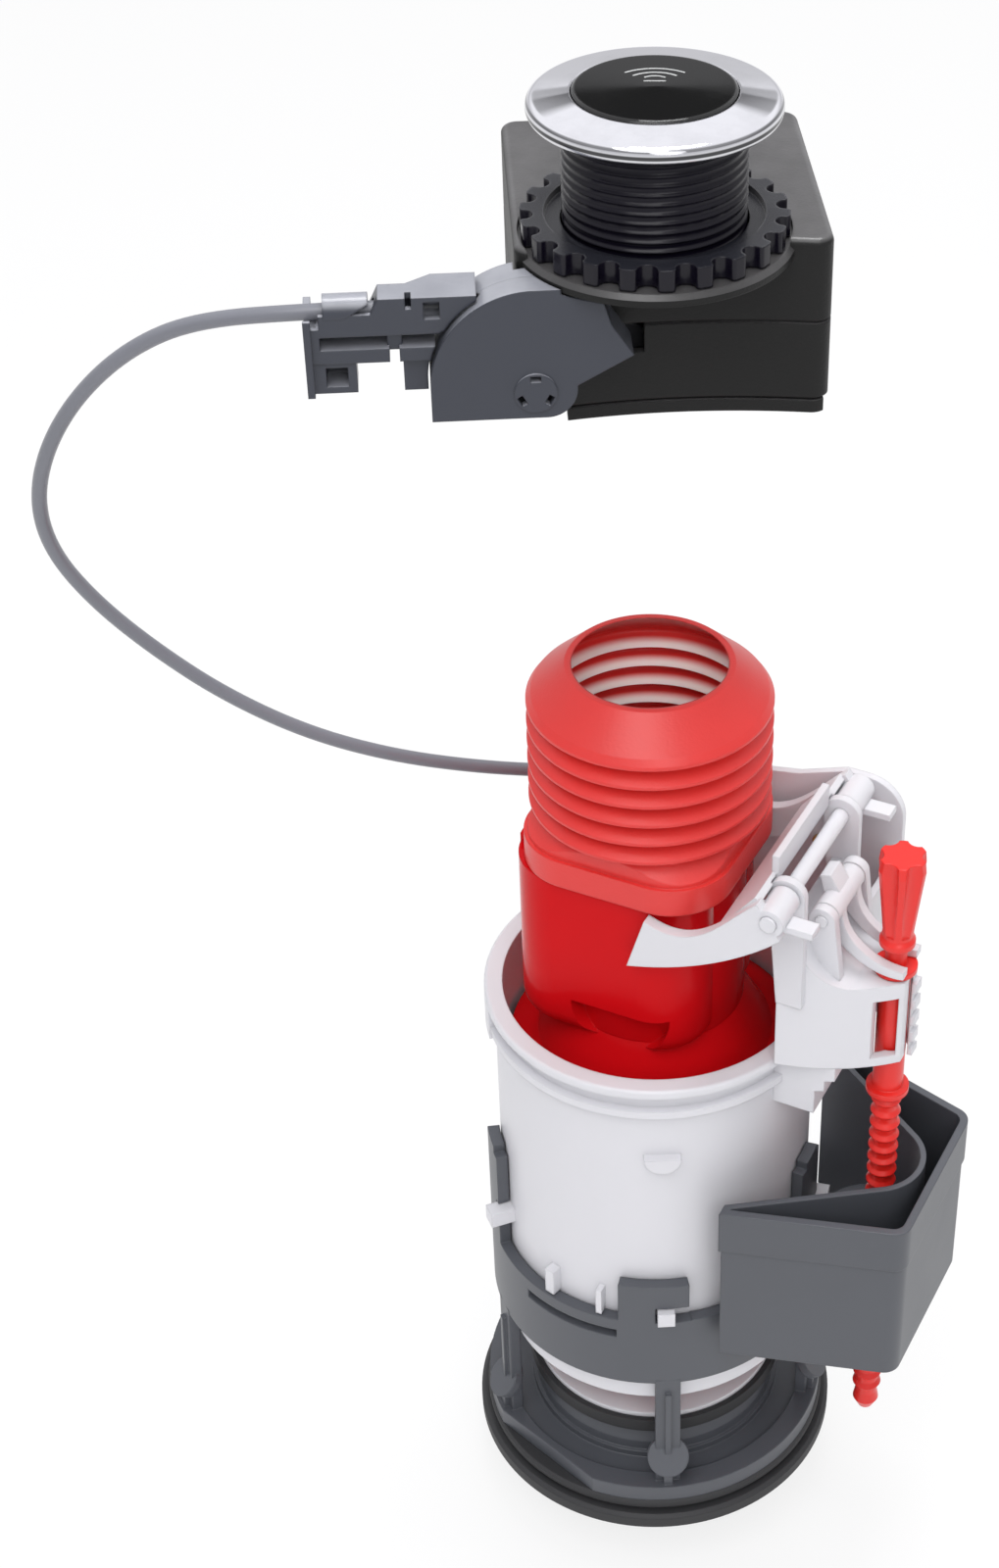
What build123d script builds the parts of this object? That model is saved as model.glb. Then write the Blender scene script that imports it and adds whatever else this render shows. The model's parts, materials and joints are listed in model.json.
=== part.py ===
from build123d import *
import math
import os

# Touch-free flush system for a toilet cistern: a battery button unit for the lid,
# a cable-operated flush valve for the outlet, and the cable between them.
# Millimetres. Z is the valve's axis, z = 0 is the underside of the outlet seal,
# and +X points from the valve's axis to the delay float.

os.makedirs("parts", exist_ok=True)

# Running and seating clearances
SEAT_GAP = 0.3
RUN_GAP = 0.05
PLAY = 0.5
WALL = 1.8

# Outlet tail, rubber seal and base
TAIL_RADIUS = 29.8
TAIL_WALL = 3.3
TAIL_LENGTH = 18.0
SPIGOT_STEP = 0.8
SEAL_HEIGHT = 8.0
SEAL_PROUD = 2.65
SEAL_LIP = 0.6
SEAL_GROOVE = 1.2
SEAL_FIT = 0.2
FLANGE_RADIUS = 46.0
FLANGE_HEIGHT = 5.0
FLANGE_CUT = 3.3
FLANGE_TROUGH = 2.0
FLANGE_EDGE = 5.5
FLAT_ANGLE = -108.0
SEAT_WALL = 6.5
SEAT_RISE = 9.0
LEG_COUNT = 5
LEG_ANGLE = -60.4
LEG_WIDTH = 6.5
LEG_INSET = 0.9
RIB_WIDTH = 1.6
STAMP_RADIUS = 5.5
STAMP_RISE = 10.5
STAMP_TILT = 52.0
BAND_WALL = 3.0
BAND_LOW = 52.0
BAND_HEIGHT = 23.0
TAB_RISE = 13.0
TAB_HALF = 12.0
TAB_LEAD = 5.0
WINDOW_DROP = 6.5
WINDOW_HEIGHT = 2.8
WINDOW_SPAN = 36.0
WINDOW_GAP = 0.6
SLOT_HALF = 3.6
EAR_RISE = 31.0
EAR_HALF = 8.0
EAR_SHIFT = -9.0
EAR_STEP = 2.4

# White cylinder
CYLINDER_RADIUS = 40.0
CYLINDER_WALL = 2.1
CYLINDER_DIP = 9.0
CYLINDER_HEIGHT = 111.5
BAND_FIT = 0.4
RIM_PROUD = 2.5
RIM_HEIGHT = 2.8
RIM_PAD_HEIGHT = 10.0
RIM_PAD_FROM = -157.0
RIM_PAD_TO = -139.0
MOON_DROP = 23.0
PEG_SIZE = 4.4
PEG_LEAD = 0.8
PEG_RISE = 2.5
EAR_PEG_RISE = 12.0
BRACKET_DEPTH = 16.5
BRACKET_OUT = 8.5
BRACKET_HALF = 13.0

# Red valve tube, its seal and the bellows
TUBE_SIDE = 49.0
TUBE_CORNER = 13.0
TUBE_OFFSET = -4.6
TUBE_DROP = 4.5
TUBE_HEIGHT = 47.2
TUBE_FOOT_ROUND = 6.0
TUBE_BORE = 20.4
SCOOP_RADIUS = 12.6
SCOOP_X = 1.6
SCOOP_RISE = 12.4
SCOOP_TILT = 15.0
NECK_WALL = 1.8
NECK_RISE = 5.7
STEM_WALL = 2.6
DISC_GAP = 1.5
DISC_DROP = 17.0
DISC_HEIGHT = 6.0
DISC_EDGE = 3.0
FLUSH_SEAL_PROUD = 1.5
FLUSH_SEAL_HEIGHT = 4.0
CLAMP_HEIGHT = 4.0
COLLAR_SIDE = 52.0
COLLAR_CORNER = 15.0
COLLAR_OFFSET = -1.5
COLLAR_HEIGHT = 7.3
COLLAR_LEDGE = 1.0
SKIRT_RISE = 4.6
SKIRT_SPREAD = 5.4
BELLOWS_SHIFT = -1.2
BELLOWS_WALL = 1.6
VALLEY_GAP = 1.3
FOLD_DEPTH = 3.6
FOLD_COUNT = 6
FOLD_START = 3.0
FOLD_PITCH = 5.34
FOLD_FLAT = 0.8
LIP_RADIUS = 19.6
LIP_RISE = 9.4
SHOULDER_DROP = 1.2
SHOULDER_RISE = 2.1

# Head frame, fork and latch
TOWER_LAP = 0.5
TOWER_DEPTH = 27.1
TOWER_HALF_IN = 17.4
TOWER_HALF_OUT = 4.0
TOWER_BULGE = 2.4
TOWER_RISE = 39.5
PLATE_RISE = 25.0
SHOULDER_REACH = 5.0
PLATE_REACH = 16.0
STRIP_NOTCHES = 4
PIVOT_IN = 15.6
PIVOT_THICK = 2.2
PIVOT_REACH = 1.7
FORK_RISE = 9.8
PIN_RADIUS = 2.0
EYE_WALL = 2.6
EAR_FOOT = 20.0
HUB_WALL = 1.6
FORK_ARM_GAP = 0.7
FORK_ARM = 3.0
FORK_TIP = 30.9
FORK_TIP_HEIGHT = 15.0
FORK_UNDER = 0.5
BRIDGE_THICK = 1.8
HORN_NIPPLE = 1.5
LATCH_REACH = 15.0
LATCH_RISE = 17.5
LATCH_PIN_RADIUS = 1.5
LATCH_EYE_WALL = 1.8
LUG_IN = 8.4
LUG_THICK = 2.6
SHIELD_GAP = 2.8
SHIELD_THICK = 2.0
SHIELD_LEFT = 6.0
SHIELD_REACH = 12.0
SHIELD_RISE = 53.5
SHIELD_CORNER = 10.0

# Float screw and cup
SCREW_INSET = 4.1
SCREW_RADIUS = 3.75
SCREW_CORE = 2.9
SCREW_PITCH = 4.0
SCREW_TIP = 27.7
SCREW_NECK = 2.6
TOP_FLANGE_RADIUS = 5.2
TOP_FLANGE = 1.5
LOW_FLANGE_DROP = 13.5
LOW_FLANGE_RADIUS = 5.25
KNOB_RISE = 5.7
KNOB_HEIGHT = 26.5
KNOB_RADIUS = 5.9
KNOB_FOOT = 3.6
KNOB_FLUTES = 6
FLUTE_RADIUS = 2.6
FLUTE_DEPTH = 1.5
CUP_DROP = 23.5
CUP_HEIGHT = 50.5
CUP_BAND_HEIGHT = 13.0
CUP_BAND_STEP = 0.5
CUP_WALL = 1.5
CUP_REACH = 14.8
CUP_DEPTH = 43.1
CUP_HALF_OUT = 22.6
CUP_FLARE = 12.2
CUP_CORNER = 4.5
WELL_INSET = 2.4
WELL_RADIUS = 11.7
WELL_SLOPE = 34.0
WEB_RISE = 17.0
WEB_HEIGHT = 10.0
CUP_BORE_FIT = 0.25

# Button unit, in its own frame turned by UNIT_YAW about the valve's axis
UNIT_YAW = 30.0
CASE_LEFT = -29.2
CASE_RIGHT = 36.0
CASE_FRONT = -10.5
CASE_BACK = 55.0
CASE_HOLLOW = 3.5
CASE_CORNER = 3.5
CASE_EDGE = 1.6
CASE_LOW = 320.2
LOWER_HEIGHT = 18.6
UPPER_HEIGHT = 18.2
CASE_WALL = 2.0
SEAM_HEIGHT = 0.7
SEAM_INSET = 0.7
NOTCH_RIGHT = -2.8
NOTCH_WIDTH = 9.0
NOTCH_HEIGHT = 6.8
SHANK_RADIUS = 19.0
SHANK_WALL = 3.5
SHANK_RISE = 25.6
SHANK_FIT = 0.3
PAD_WIDTH = 10.0
PAD_TAPER = 6.0
PAD_SINK = 1.4
PAD_DEPTH = 5.2
PAD_RIM = 2.4
PAD_COLLAR = 2.0
PAD_FLOOR = 2.0
WIRE_HOLE = 6.0
NUT_WIDTH = 8.6
NUT_HEIGHT = 4.6
NUT_TEETH = 22
NUT_NOTCH = 2.05
NUT_NOTCH_SHIFT = 0.75
NUT_TOOTH_ROUND = 0.8
NUT_DISH = 3.6
NUT_DISH_DEPTH = 1.4
BEZEL_PROUD = 6.8
BEZEL_RISE = 4.9
BEZEL_SOCKET = 1.0
BEZEL_EDGE = 0.9
LENS_LAP = 1.1
LENS_FIT = 0.2
LENS_CROWN = 0.7
MODULE_DEPTH = 9.0
CONNECTOR = (12.0, 9.0, 7.0)
COVER_THICK = 2.8
COVER_LEFT = -12.0
COVER_SIDE = 6.0
COVER_FRONT = 2.0
COVER_BACK_GAP = 3.0
COVER_LAP = 7.0
COVER_FIT = 0.4
COVER_BOLT = 1.35
COVER_BOLT_FIT = 0.05
BOLT_HEAD = 2.4
CELL_RADIUS = 5.25
CELL_LENGTH = 44.5
CELL_COUNT = 4
CELL_PITCH_GAP = 0.15
CELL_NUB = 1.9
BOARD_RISE = 4.2
BOARD_THICK = 1.6
BOARD_EDGE = 2.0
POST_RADIUS = 2.0
GEARBOX_DEPTH = 12.0
GEARBOX_HEIGHT = 13.0
MOTOR_RADIUS = 5.8
MOTOR_LENGTH = 22.0

# Cable pulley, its housing and the cable's holder, in the button unit's frame
PULLEY_INSET = 3.2
PULLEY_RISE = 11.0
PULLEY_RADIUS = 17.6
NOSE_DROP = 15.2
NOSE_LOW = 21.6
NOSE_CUT = 11.5
PULLEY_OUT = 5.2
PULLEY_THICK = 4.0
PULLEY_FLANGE = 0.9
SHAFT_RADIUS = 1.6
HOUSING_WALL = 1.6
HOUSING_BACK_GAP = 0.4
HOUSING_SPLIT = 4.1
HOUSING_FACE = 10.5
HOUSING_REAR = 3.1
HOUSING_SIDE = 3.6
HOUSING_CROWN = 5.2
HOUSING_FOOT = 5.8
BOSS_RADIUS = 4.4
CABLE_RADIUS = 1.7
CABLE_INSET = 19.0
CABLE_FIT = 0.45
NIPPLE_RADIUS = 1.4
HOLDER_LENGTH = 23.2
HOLDER_REACH = 10.0
ANCHOR_X = 4.0
ANCHOR_LENGTH = 16.0
ANCHOR_RISE = 35.5

# Places worked out from the sizes above
TAIL_BORE = TAIL_RADIUS - TAIL_WALL
SPIGOT_RADIUS = TAIL_RADIUS + SPIGOT_STEP
SEAL_RADIUS = FLANGE_RADIUS + SEAL_PROUD
FLANGE_LOW = SEAL_HEIGHT
FLANGE_HIGH = FLANGE_LOW + FLANGE_HEIGHT
SEAT_RADIUS = TAIL_BORE + SEAT_WALL
SEAT_TOP = FLANGE_HIGH + SEAT_RISE
BAND_HIGH = BAND_LOW + BAND_HEIGHT
BAND_BORE = CYLINDER_RADIUS + BAND_FIT
BAND_RADIUS = BAND_BORE + BAND_WALL
PEG_LEVEL = BAND_HIGH + PEG_RISE
EAR_PEG_LEVEL = BAND_HIGH + EAR_PEG_RISE
LEG_STEP = 360 / LEG_COUNT
CYLINDER_BORE = CYLINDER_RADIUS - CYLINDER_WALL
CYLINDER_LOW = BAND_LOW - CYLINDER_DIP
RIM_TOP = CYLINDER_LOW + CYLINDER_HEIGHT
RIM_RADIUS = CYLINDER_RADIUS + RIM_PROUD
TUBE_LOW = RIM_TOP - TUBE_DROP
TUBE_HIGH = TUBE_LOW + TUBE_HEIGHT
NECK_RADIUS = TUBE_BORE + NECK_WALL
STEM_RADIUS = TUBE_BORE + STEM_WALL
DISC_RADIUS = CYLINDER_BORE - DISC_GAP
DISC_LOW = TUBE_LOW - DISC_DROP
FLUSH_SEAL_RADIUS = SEAT_RADIUS + FLUSH_SEAL_PROUD
FLUSH_SEAL_LOW = SEAT_TOP + SEAT_GAP
CLAMP_LOW = FLUSH_SEAL_LOW + FLUSH_SEAL_HEIGHT
TUBE_FOOT = CLAMP_LOW + CLAMP_HEIGHT
COLLAR_LOW = TUBE_HIGH + SEAT_GAP
COLLAR_HIGH = COLLAR_LOW + COLLAR_HEIGHT
BELLOWS_FOOT = COLLAR_HIGH + SKIRT_RISE
VALLEY_RADIUS = NECK_RADIUS + BELLOWS_WALL + VALLEY_GAP
RIDGE_RADIUS = VALLEY_RADIUS + FOLD_DEPTH
TOWER_IN = CYLINDER_RADIUS - TOWER_LAP
TOWER_OUT = TOWER_IN + TOWER_DEPTH
TOWER_HIGH = RIM_TOP + TOWER_RISE
TOWER_PLATE = RIM_TOP + PLATE_RISE
SCREW_X = TOWER_OUT - SCREW_INSET
PIVOT_OUT = PIVOT_IN + PIVOT_THICK
FORK_X = TOWER_IN + PIVOT_REACH
FORK_Z = TUBE_HIGH + FORK_RISE
FORK_ARM_IN = TUBE_SIDE / 2 + FORK_ARM_GAP
FORK_ARM_OUT = FORK_ARM_IN + FORK_ARM
NIPPLE_X = FORK_X - 7.0
NIPPLE_Z = FORK_Z - 13.0
LATCH_X = SCREW_X - LATCH_REACH
LATCH_Z = TOWER_PLATE + LATCH_RISE
LUG_OUT = LUG_IN + LUG_THICK
SHIELD_IN = FORK_ARM_OUT + SHIELD_GAP
SHIELD_OUT = SHIELD_IN + SHIELD_THICK
SHIELD_RIGHT = TOWER_IN + SHIELD_REACH
SHIELD_HIGH = RIM_TOP + SHIELD_RISE
TOP_FLANGE_LOW = TOWER_PLATE + SEAT_GAP
TOP_FLANGE_HIGH = TOP_FLANGE_LOW + TOP_FLANGE
LOW_FLANGE_Z = RIM_TOP - LOW_FLANGE_DROP
KNOB_LOW = TOP_FLANGE_HIGH + KNOB_RISE
KNOB_TOP = KNOB_LOW + KNOB_HEIGHT
CUP_RIM = LOW_FLANGE_Z - CUP_DROP
CUP_LOW = CUP_RIM - CUP_HEIGHT
CUP_OUT = SCREW_X + CUP_REACH
CUP_IN = CUP_OUT - CUP_DEPTH
WELL_X = SCREW_X - WELL_INSET
CASE_SEAM = CASE_LOW + LOWER_HEIGHT
CASE_TOP = CASE_SEAM + UPPER_HEIGHT
PAD_RADIUS = SHANK_RADIUS + PAD_WIDTH
PAD_TOP = CASE_TOP - PAD_SINK
PAD_LOW = PAD_TOP - PAD_DEPTH
PAD_RIM_LOW = PAD_TOP - PAD_RIM
SHANK_BORE = SHANK_RADIUS - SHANK_WALL
SHANK_FOOT = PAD_LOW + PAD_FLOOR
SHANK_TOP = PAD_TOP + SHANK_RISE
NUT_TIP = SHANK_RADIUS + NUT_WIDTH
BEZEL_RADIUS = SHANK_RADIUS + BEZEL_PROUD
LENS_RADIUS = SHANK_BORE + LENS_LAP
COVER_RIGHT = CASE_RIGHT - COVER_SIDE
COVER_BACK = CASE_BACK - COVER_BACK_GAP
COVER_HOLE = COVER_BOLT + COVER_BOLT_FIT
BOARD_LOW = CASE_SEAM + BOARD_RISE
BOARD_TOP = BOARD_LOW + BOARD_THICK
BOARD_LEFT = CASE_LEFT + CASE_WALL + 2 * BOARD_EDGE
BOARD_RIGHT = CASE_RIGHT - CASE_WALL - BOARD_EDGE
BOARD_FRONT = SHANK_RADIUS + 3 * BOARD_EDGE
BOARD_BACK = CASE_BACK - CASE_WALL - BOARD_EDGE
PULLEY_X = CASE_LEFT + PULLEY_INSET
PULLEY_Y = CASE_FRONT - PULLEY_OUT
PULLEY_Z = CASE_LOW + PULLEY_RISE
PULLEY_NEAR = PULLEY_Y - PULLEY_THICK / 2
PULLEY_FAR = PULLEY_Y + PULLEY_THICK / 2
SHAFT_END = CASE_FRONT + CASE_WALL + CASE_HOLLOW + PLAY
FACE_Y = CASE_FRONT - HOUSING_FACE
SPLIT_Y = CASE_FRONT - HOUSING_SPLIT
BACK_Y = CASE_FRONT - HOUSING_BACK_GAP
REAR_Y = CASE_FRONT + HOUSING_REAR
HOUSING_LEFT = PULLEY_X - PULLEY_RADIUS - HOUSING_SIDE
HOUSING_TOP = PULLEY_Z + PULLEY_RADIUS + HOUSING_CROWN
HOUSING_LOW = PULLEY_Z - HOUSING_FOOT
CABLE_Z = PULLEY_Z + PULLEY_RADIUS
HOLDER_LEFT = HOUSING_LEFT - HOLDER_LENGTH
ANCHOR_Y = SHIELD_OUT + 2 * CABLE_RADIUS
ANCHOR_Z = RIM_TOP + ANCHOR_RISE
UNIT = Rot(0, 0, UNIT_YAW)


def slab(shape, low, high):
    """A flat shape raised from one height to another."""
    return Pos(0, 0, low) * extrude(shape, amount=high - low)


def ring(outer, inner, low, high):
    """A round tube about the valve's axis."""
    return slab(Circle(outer) - Circle(inner), low, high)


def turned(points):
    """A turned solid from radius and height points."""
    return revolve(Plane.XZ * make_face(Polyline(*points, close=True)), Axis.Z)


def sector(inner, outer, low, high, start, end):
    """A piece of a round wall between two angles."""
    middle = Pos((inner + outer) / 2, (low + high) / 2)
    face = Plane.XZ * middle * Rectangle(outer - inner, high - low)
    return Rot(0, 0, start) * revolve(face, Axis.Z, end - start)


def plate(outline, near, far):
    """An outline in X and Z, given thickness between two Y positions."""
    return extrude(Plane.XZ.offset(-far) * make_face(outline), amount=far - near)


def block(low, high):
    """A box between two corners."""
    size = [b - a for a, b in zip(low, high)]
    middle = [(a + b) / 2 for a, b in zip(low, high)]
    return Pos(*middle) * Box(*size)


def rod_y(x, z, radius, near, far):
    """A round rod along Y."""
    return Pos(x, (near + far) / 2, z) * Rot(90, 0, 0) * Cylinder(radius, far - near)


def rod_x(y, z, radius, near, far):
    """A round rod along X."""
    return Pos((near + far) / 2, y, z) * Rot(0, 90, 0) * Cylinder(radius, far - near)


def both_sides(shape):
    """A shape and its mirror image across the valve's middle plane."""
    return shape + mirror(shape, Plane.XZ)


def outlet_seal():
    edge = FLANGE_RADIUS + SEAL_LIP
    groove = edge - SEAL_GROOVE
    bore = SPIGOT_RADIUS + SEAL_FIT
    return turned([
        (bore, 0), (SEAL_RADIUS, 0), (SEAL_RADIUS, 0.4 * SEAL_HEIGHT),
        (SEAL_RADIUS - 1, 0.52 * SEAL_HEIGHT), (groove, 0.52 * SEAL_HEIGHT), (groove, 0.66 * SEAL_HEIGHT),
        (edge, 0.72 * SEAL_HEIGHT), (edge, 0.9 * SEAL_HEIGHT), (edge - SEAL_LIP, SEAL_HEIGHT),
        (bore, SEAL_HEIGHT),
    ])


def base_flange():
    """Flange with two flats and a trough, the tail below it and the valve seat above."""
    flats = Rot(0, 0, FLAT_ANGLE) * Rectangle(2 * (FLANGE_RADIUS - FLANGE_CUT), 4 * FLANGE_RADIUS)
    plan = (Circle(FLANGE_RADIUS) & flats) - Circle(TAIL_BORE)
    flange = slab(plan, FLANGE_LOW, FLANGE_HIGH)
    flange -= ring(FLANGE_RADIUS - FLANGE_EDGE, SEAT_RADIUS + 1, FLANGE_HIGH - FLANGE_TROUGH, FLANGE_HIGH)
    tail = ring(TAIL_RADIUS, TAIL_BORE, -TAIL_LENGTH, 0)
    spigot = ring(SPIGOT_RADIUS, TAIL_BORE, 0, FLANGE_LOW)
    seat = turned([
        (TAIL_BORE, FLANGE_LOW), (SEAT_RADIUS, FLANGE_LOW), (SEAT_RADIUS, FLANGE_HIGH + SEAT_RISE / 3),
        (SEAT_RADIUS - 2.4, SEAT_TOP), (TAIL_BORE + 1.5, SEAT_TOP), (TAIL_BORE, SEAT_TOP - 2),
    ])
    return flange + tail + spigot + seat


def base_leg():
    """A leg on +X, with its rib and its sloping stamp disc at the foot."""
    foot = FLANGE_HIGH - 1
    outer = BAND_RADIUS
    leg = block((BAND_BORE, -LEG_WIDTH / 2, foot), (outer, LEG_WIDTH / 2, BAND_LOW + 1))
    rib = block((outer - 1, -RIB_WIDTH / 2, foot), (outer + 1, RIB_WIDTH / 2, BAND_LOW - 4))
    place = Pos(outer + 0.4, 0, FLANGE_HIGH + STAMP_RISE)
    stamp = place * Rot(0, STAMP_TILT, 0) * Cylinder(STAMP_RADIUS, 2.4)
    half = LEG_WIDTH / 2 - LEG_INSET
    root = block((BAND_BORE + LEG_INSET, -half, foot - FLANGE_TROUGH), (outer - LEG_INSET, half, foot + 1))
    pin = block((outer - 1, -1.2, foot), (outer + 1.6, 1.2, FLANGE_HIGH + STAMP_RISE - 3.5))
    return leg + root + rib + stamp + pin


def bayonet_band():
    """Band round the cylinder, with a tab, a bayonet slot, a window and two spring ears."""
    past = BAND_RADIUS + 1
    short = BAND_BORE - 1
    band = ring(BAND_RADIUS, BAND_BORE, BAND_LOW, BAND_HIGH)
    tab = LEG_ANGLE - TAB_LEAD
    top = BAND_HIGH + TAB_RISE
    band += sector(BAND_BORE, BAND_RADIUS, BAND_HIGH - 1, top, tab - TAB_HALF, tab + TAB_HALF)
    reach = PEG_SIZE / 2 + PLAY
    start = LEG_ANGLE - PEG_LEAD - SLOT_HALF
    band -= sector(short, past, PEG_LEVEL - reach, PEG_LEVEL + reach, start, tab + TAB_HALF + 1)
    window = tab - TAB_HALF - WINDOW_GAP
    sill = BAND_HIGH - WINDOW_DROP
    band -= sector(short, past, sill, sill + WINDOW_HEIGHT, window - WINDOW_SPAN, window)
    high = BAND_HIGH + EAR_RISE
    for angle in (LEG_ANGLE - LEG_STEP, LEG_ANGLE + LEG_STEP):
        middle = angle + EAR_SHIFT
        crown = 0.62 * EAR_HALF
        band += sector(BAND_BORE, BAND_RADIUS, BAND_HIGH - 1, high, middle - EAR_HALF, middle + EAR_HALF)
        band += sector(BAND_BORE, BAND_RADIUS, high - 1, high + EAR_STEP, middle - crown, middle + crown)
        band -= Rot(0, 0, angle) * block(
            (short, -reach, EAR_PEG_LEVEL - reach), (past, reach, EAR_PEG_LEVEL + reach))
    return band


def base_body():
    body = base_flange() + bayonet_band()
    for index in range(LEG_COUNT):
        body += Rot(0, 0, LEG_ANGLE + index * LEG_STEP) * base_leg()
    return body - slab(Circle(TAIL_BORE), -TAIL_LENGTH - 1, SEAT_TOP + 1)


def bracket_profile(inset):
    """Stepped side view of the bracket under the tower."""
    reach = CYLINDER_RADIUS + BRACKET_OUT - inset
    low = RIM_TOP - BRACKET_DEPTH + inset
    rise = BRACKET_DEPTH / 16
    return Polyline(
        (CYLINDER_BORE, low), (reach, low), (reach, low + 7 * rise), (reach + 2.4, low + 8 * rise),
        (reach + 2.4, low + 11 * rise), (reach + 5, low + 12 * rise), (reach + 5, RIM_TOP - inset),
        (CYLINDER_BORE, RIM_TOP - inset), close=True)


def valve_cylinder():
    root = CYLINDER_BORE + 1
    body = ring(CYLINDER_RADIUS, CYLINDER_BORE, CYLINDER_LOW, RIM_TOP)
    rim = ring(RIM_RADIUS, CYLINDER_BORE, RIM_TOP - RIM_HEIGHT, RIM_TOP)
    rim_edges = rim.edges().filter_by(GeomType.CIRCLE).sort_by(SortBy.RADIUS)[-2:]
    body += fillet(rim_edges, 0.3 * RIM_HEIGHT)
    body += ring(RIM_RADIUS - 0.4, CYLINDER_BORE, RIM_TOP - 9.3, RIM_TOP - 7)
    bracket = plate(bracket_profile(0), -BRACKET_HALF, BRACKET_HALF)
    bracket -= plate(bracket_profile(WALL), -BRACKET_HALF + WALL, BRACKET_HALF - WALL)
    body += bracket
    pad_top = RIM_TOP - 1
    body += sector(root, RIM_RADIUS, pad_top - RIM_PAD_HEIGHT, pad_top, RIM_PAD_FROM, RIM_PAD_TO)
    moon_z = RIM_TOP - MOON_DROP
    moon = Rot(0, 0, LEG_ANGLE - 2) * rod_x(0, moon_z, 4.6, root, RIM_RADIUS - 0.3)
    body += moon & slab(Circle(2 * RIM_RADIUS), moon_z - 5, moon_z)
    half = PEG_SIZE / 2
    front = block((root, -half, PEG_LEVEL - half), (BAND_RADIUS + 1.6, half, PEG_LEVEL + half))
    body += Rot(0, 0, LEG_ANGLE - PEG_LEAD) * front
    ear_peg = block((root, -half, EAR_PEG_LEVEL - half), (BAND_RADIUS + 3, half, EAR_PEG_LEVEL + half))
    for angle in (LEG_ANGLE - LEG_STEP, LEG_ANGLE + LEG_STEP):
        body += Rot(0, 0, angle) * ear_peg
    rib_low = BAND_HIGH + SEAT_GAP
    for angle, width in ((-104.0, 2.8), (-84.5, 1.6)):
        rib = block((root, -width / 2, rib_low), (BAND_RADIUS - 0.6, width / 2, rib_low + 8))
        body += Rot(0, 0, angle) * rib
    return body - slab(Circle(CYLINDER_BORE), CYLINDER_LOW - 1, RIM_TOP + 1)


def tube_section(inset):
    side = TUBE_SIDE - 2 * inset
    return Pos(TUBE_OFFSET, 0) * RectangleRounded(side, side, TUBE_CORNER - inset)


def tube_scoop():
    """Half-round finger scoop in the front, deepest under its straight upper edge."""
    lower_half = Rectangle(3 * SCOOP_RADIUS, 2 * SCOOP_RADIUS, align=(Align.CENTER, Align.MAX))
    half_disc = Circle(SCOOP_RADIUS) & lower_half
    cutter = extrude(Plane.XZ * half_disc, amount=TUBE_SIDE)
    slope = SCOOP_RADIUS * math.tan(math.radians(SCOOP_TILT))
    place = Pos(SCOOP_X, slope - TUBE_SIDE / 2, TUBE_LOW + SCOOP_RISE)
    return place * Rot(SCOOP_TILT, 0, 0) * cutter


def valve_tube():
    """Rounded square float chamber on a round stem, with the sealing disc below it."""
    chamber = slab(tube_section(0), TUBE_LOW, TUBE_HIGH)
    chamber = fillet(chamber.faces().sort_by(Axis.Z)[0].edges(), TUBE_FOOT_ROUND)
    chamber -= tube_scoop()
    shoulder_x = COLLAR_OFFSET - COLLAR_SIDE / 2 - SEAT_GAP
    shoulder = slab(tube_section(0), TUBE_HIGH - 1, TUBE_HIGH + 2.4)
    shoulder &= block((TUBE_OFFSET - TUBE_SIDE, -14, TUBE_HIGH - 1), (shoulder_x, 14, TUBE_HIGH + 3))
    disc_high = DISC_LOW + DISC_HEIGHT
    neck_top = TUBE_HIGH + NECK_RISE
    core = turned([
        (0, TUBE_FOOT), (STEM_RADIUS, TUBE_FOOT), (STEM_RADIUS, DISC_LOW), (DISC_RADIUS, DISC_LOW),
        (DISC_RADIUS, disc_high - DISC_EDGE), (DISC_RADIUS - 7, disc_high), (STEM_RADIUS - 1, TUBE_LOW + 2),
        (NECK_RADIUS, TUBE_LOW + 2), (NECK_RADIUS, neck_top), (0, neck_top),
    ])
    body = chamber + shoulder + core
    return body - slab(Circle(TUBE_BORE), TUBE_FOOT - 1, neck_top + 1)


def flush_seal():
    return ring(FLUSH_SEAL_RADIUS, TUBE_BORE, FLUSH_SEAL_LOW, CLAMP_LOW)


def seal_clamp():
    edge = FLUSH_SEAL_RADIUS - 1.5
    return turned([
        (TUBE_BORE, CLAMP_LOW), (edge, CLAMP_LOW), (edge, CLAMP_LOW + 1.5), (STEM_RADIUS, TUBE_FOOT),
        (TUBE_BORE, TUBE_FOOT),
    ])


def collar_section(inset):
    side = COLLAR_SIDE - 2 * inset
    return Pos(COLLAR_OFFSET, 0) * RectangleRounded(side, side, COLLAR_CORNER - inset)


def skirt(inset):
    """Cone from the collar's ledge to the foot of the folds, trimmed to the collar's square."""
    foot = VALLEY_RADIUS - inset
    cone = turned([
        (0, COLLAR_HIGH), (foot + SKIRT_SPREAD, COLLAR_HIGH), (foot, BELLOWS_FOOT), (0, BELLOWS_FOOT)])
    square = slab(collar_section(COLLAR_LEDGE + inset), COLLAR_HIGH, BELLOWS_FOOT)
    return Pos(BELLOWS_SHIFT, 0) * cone & square


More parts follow.
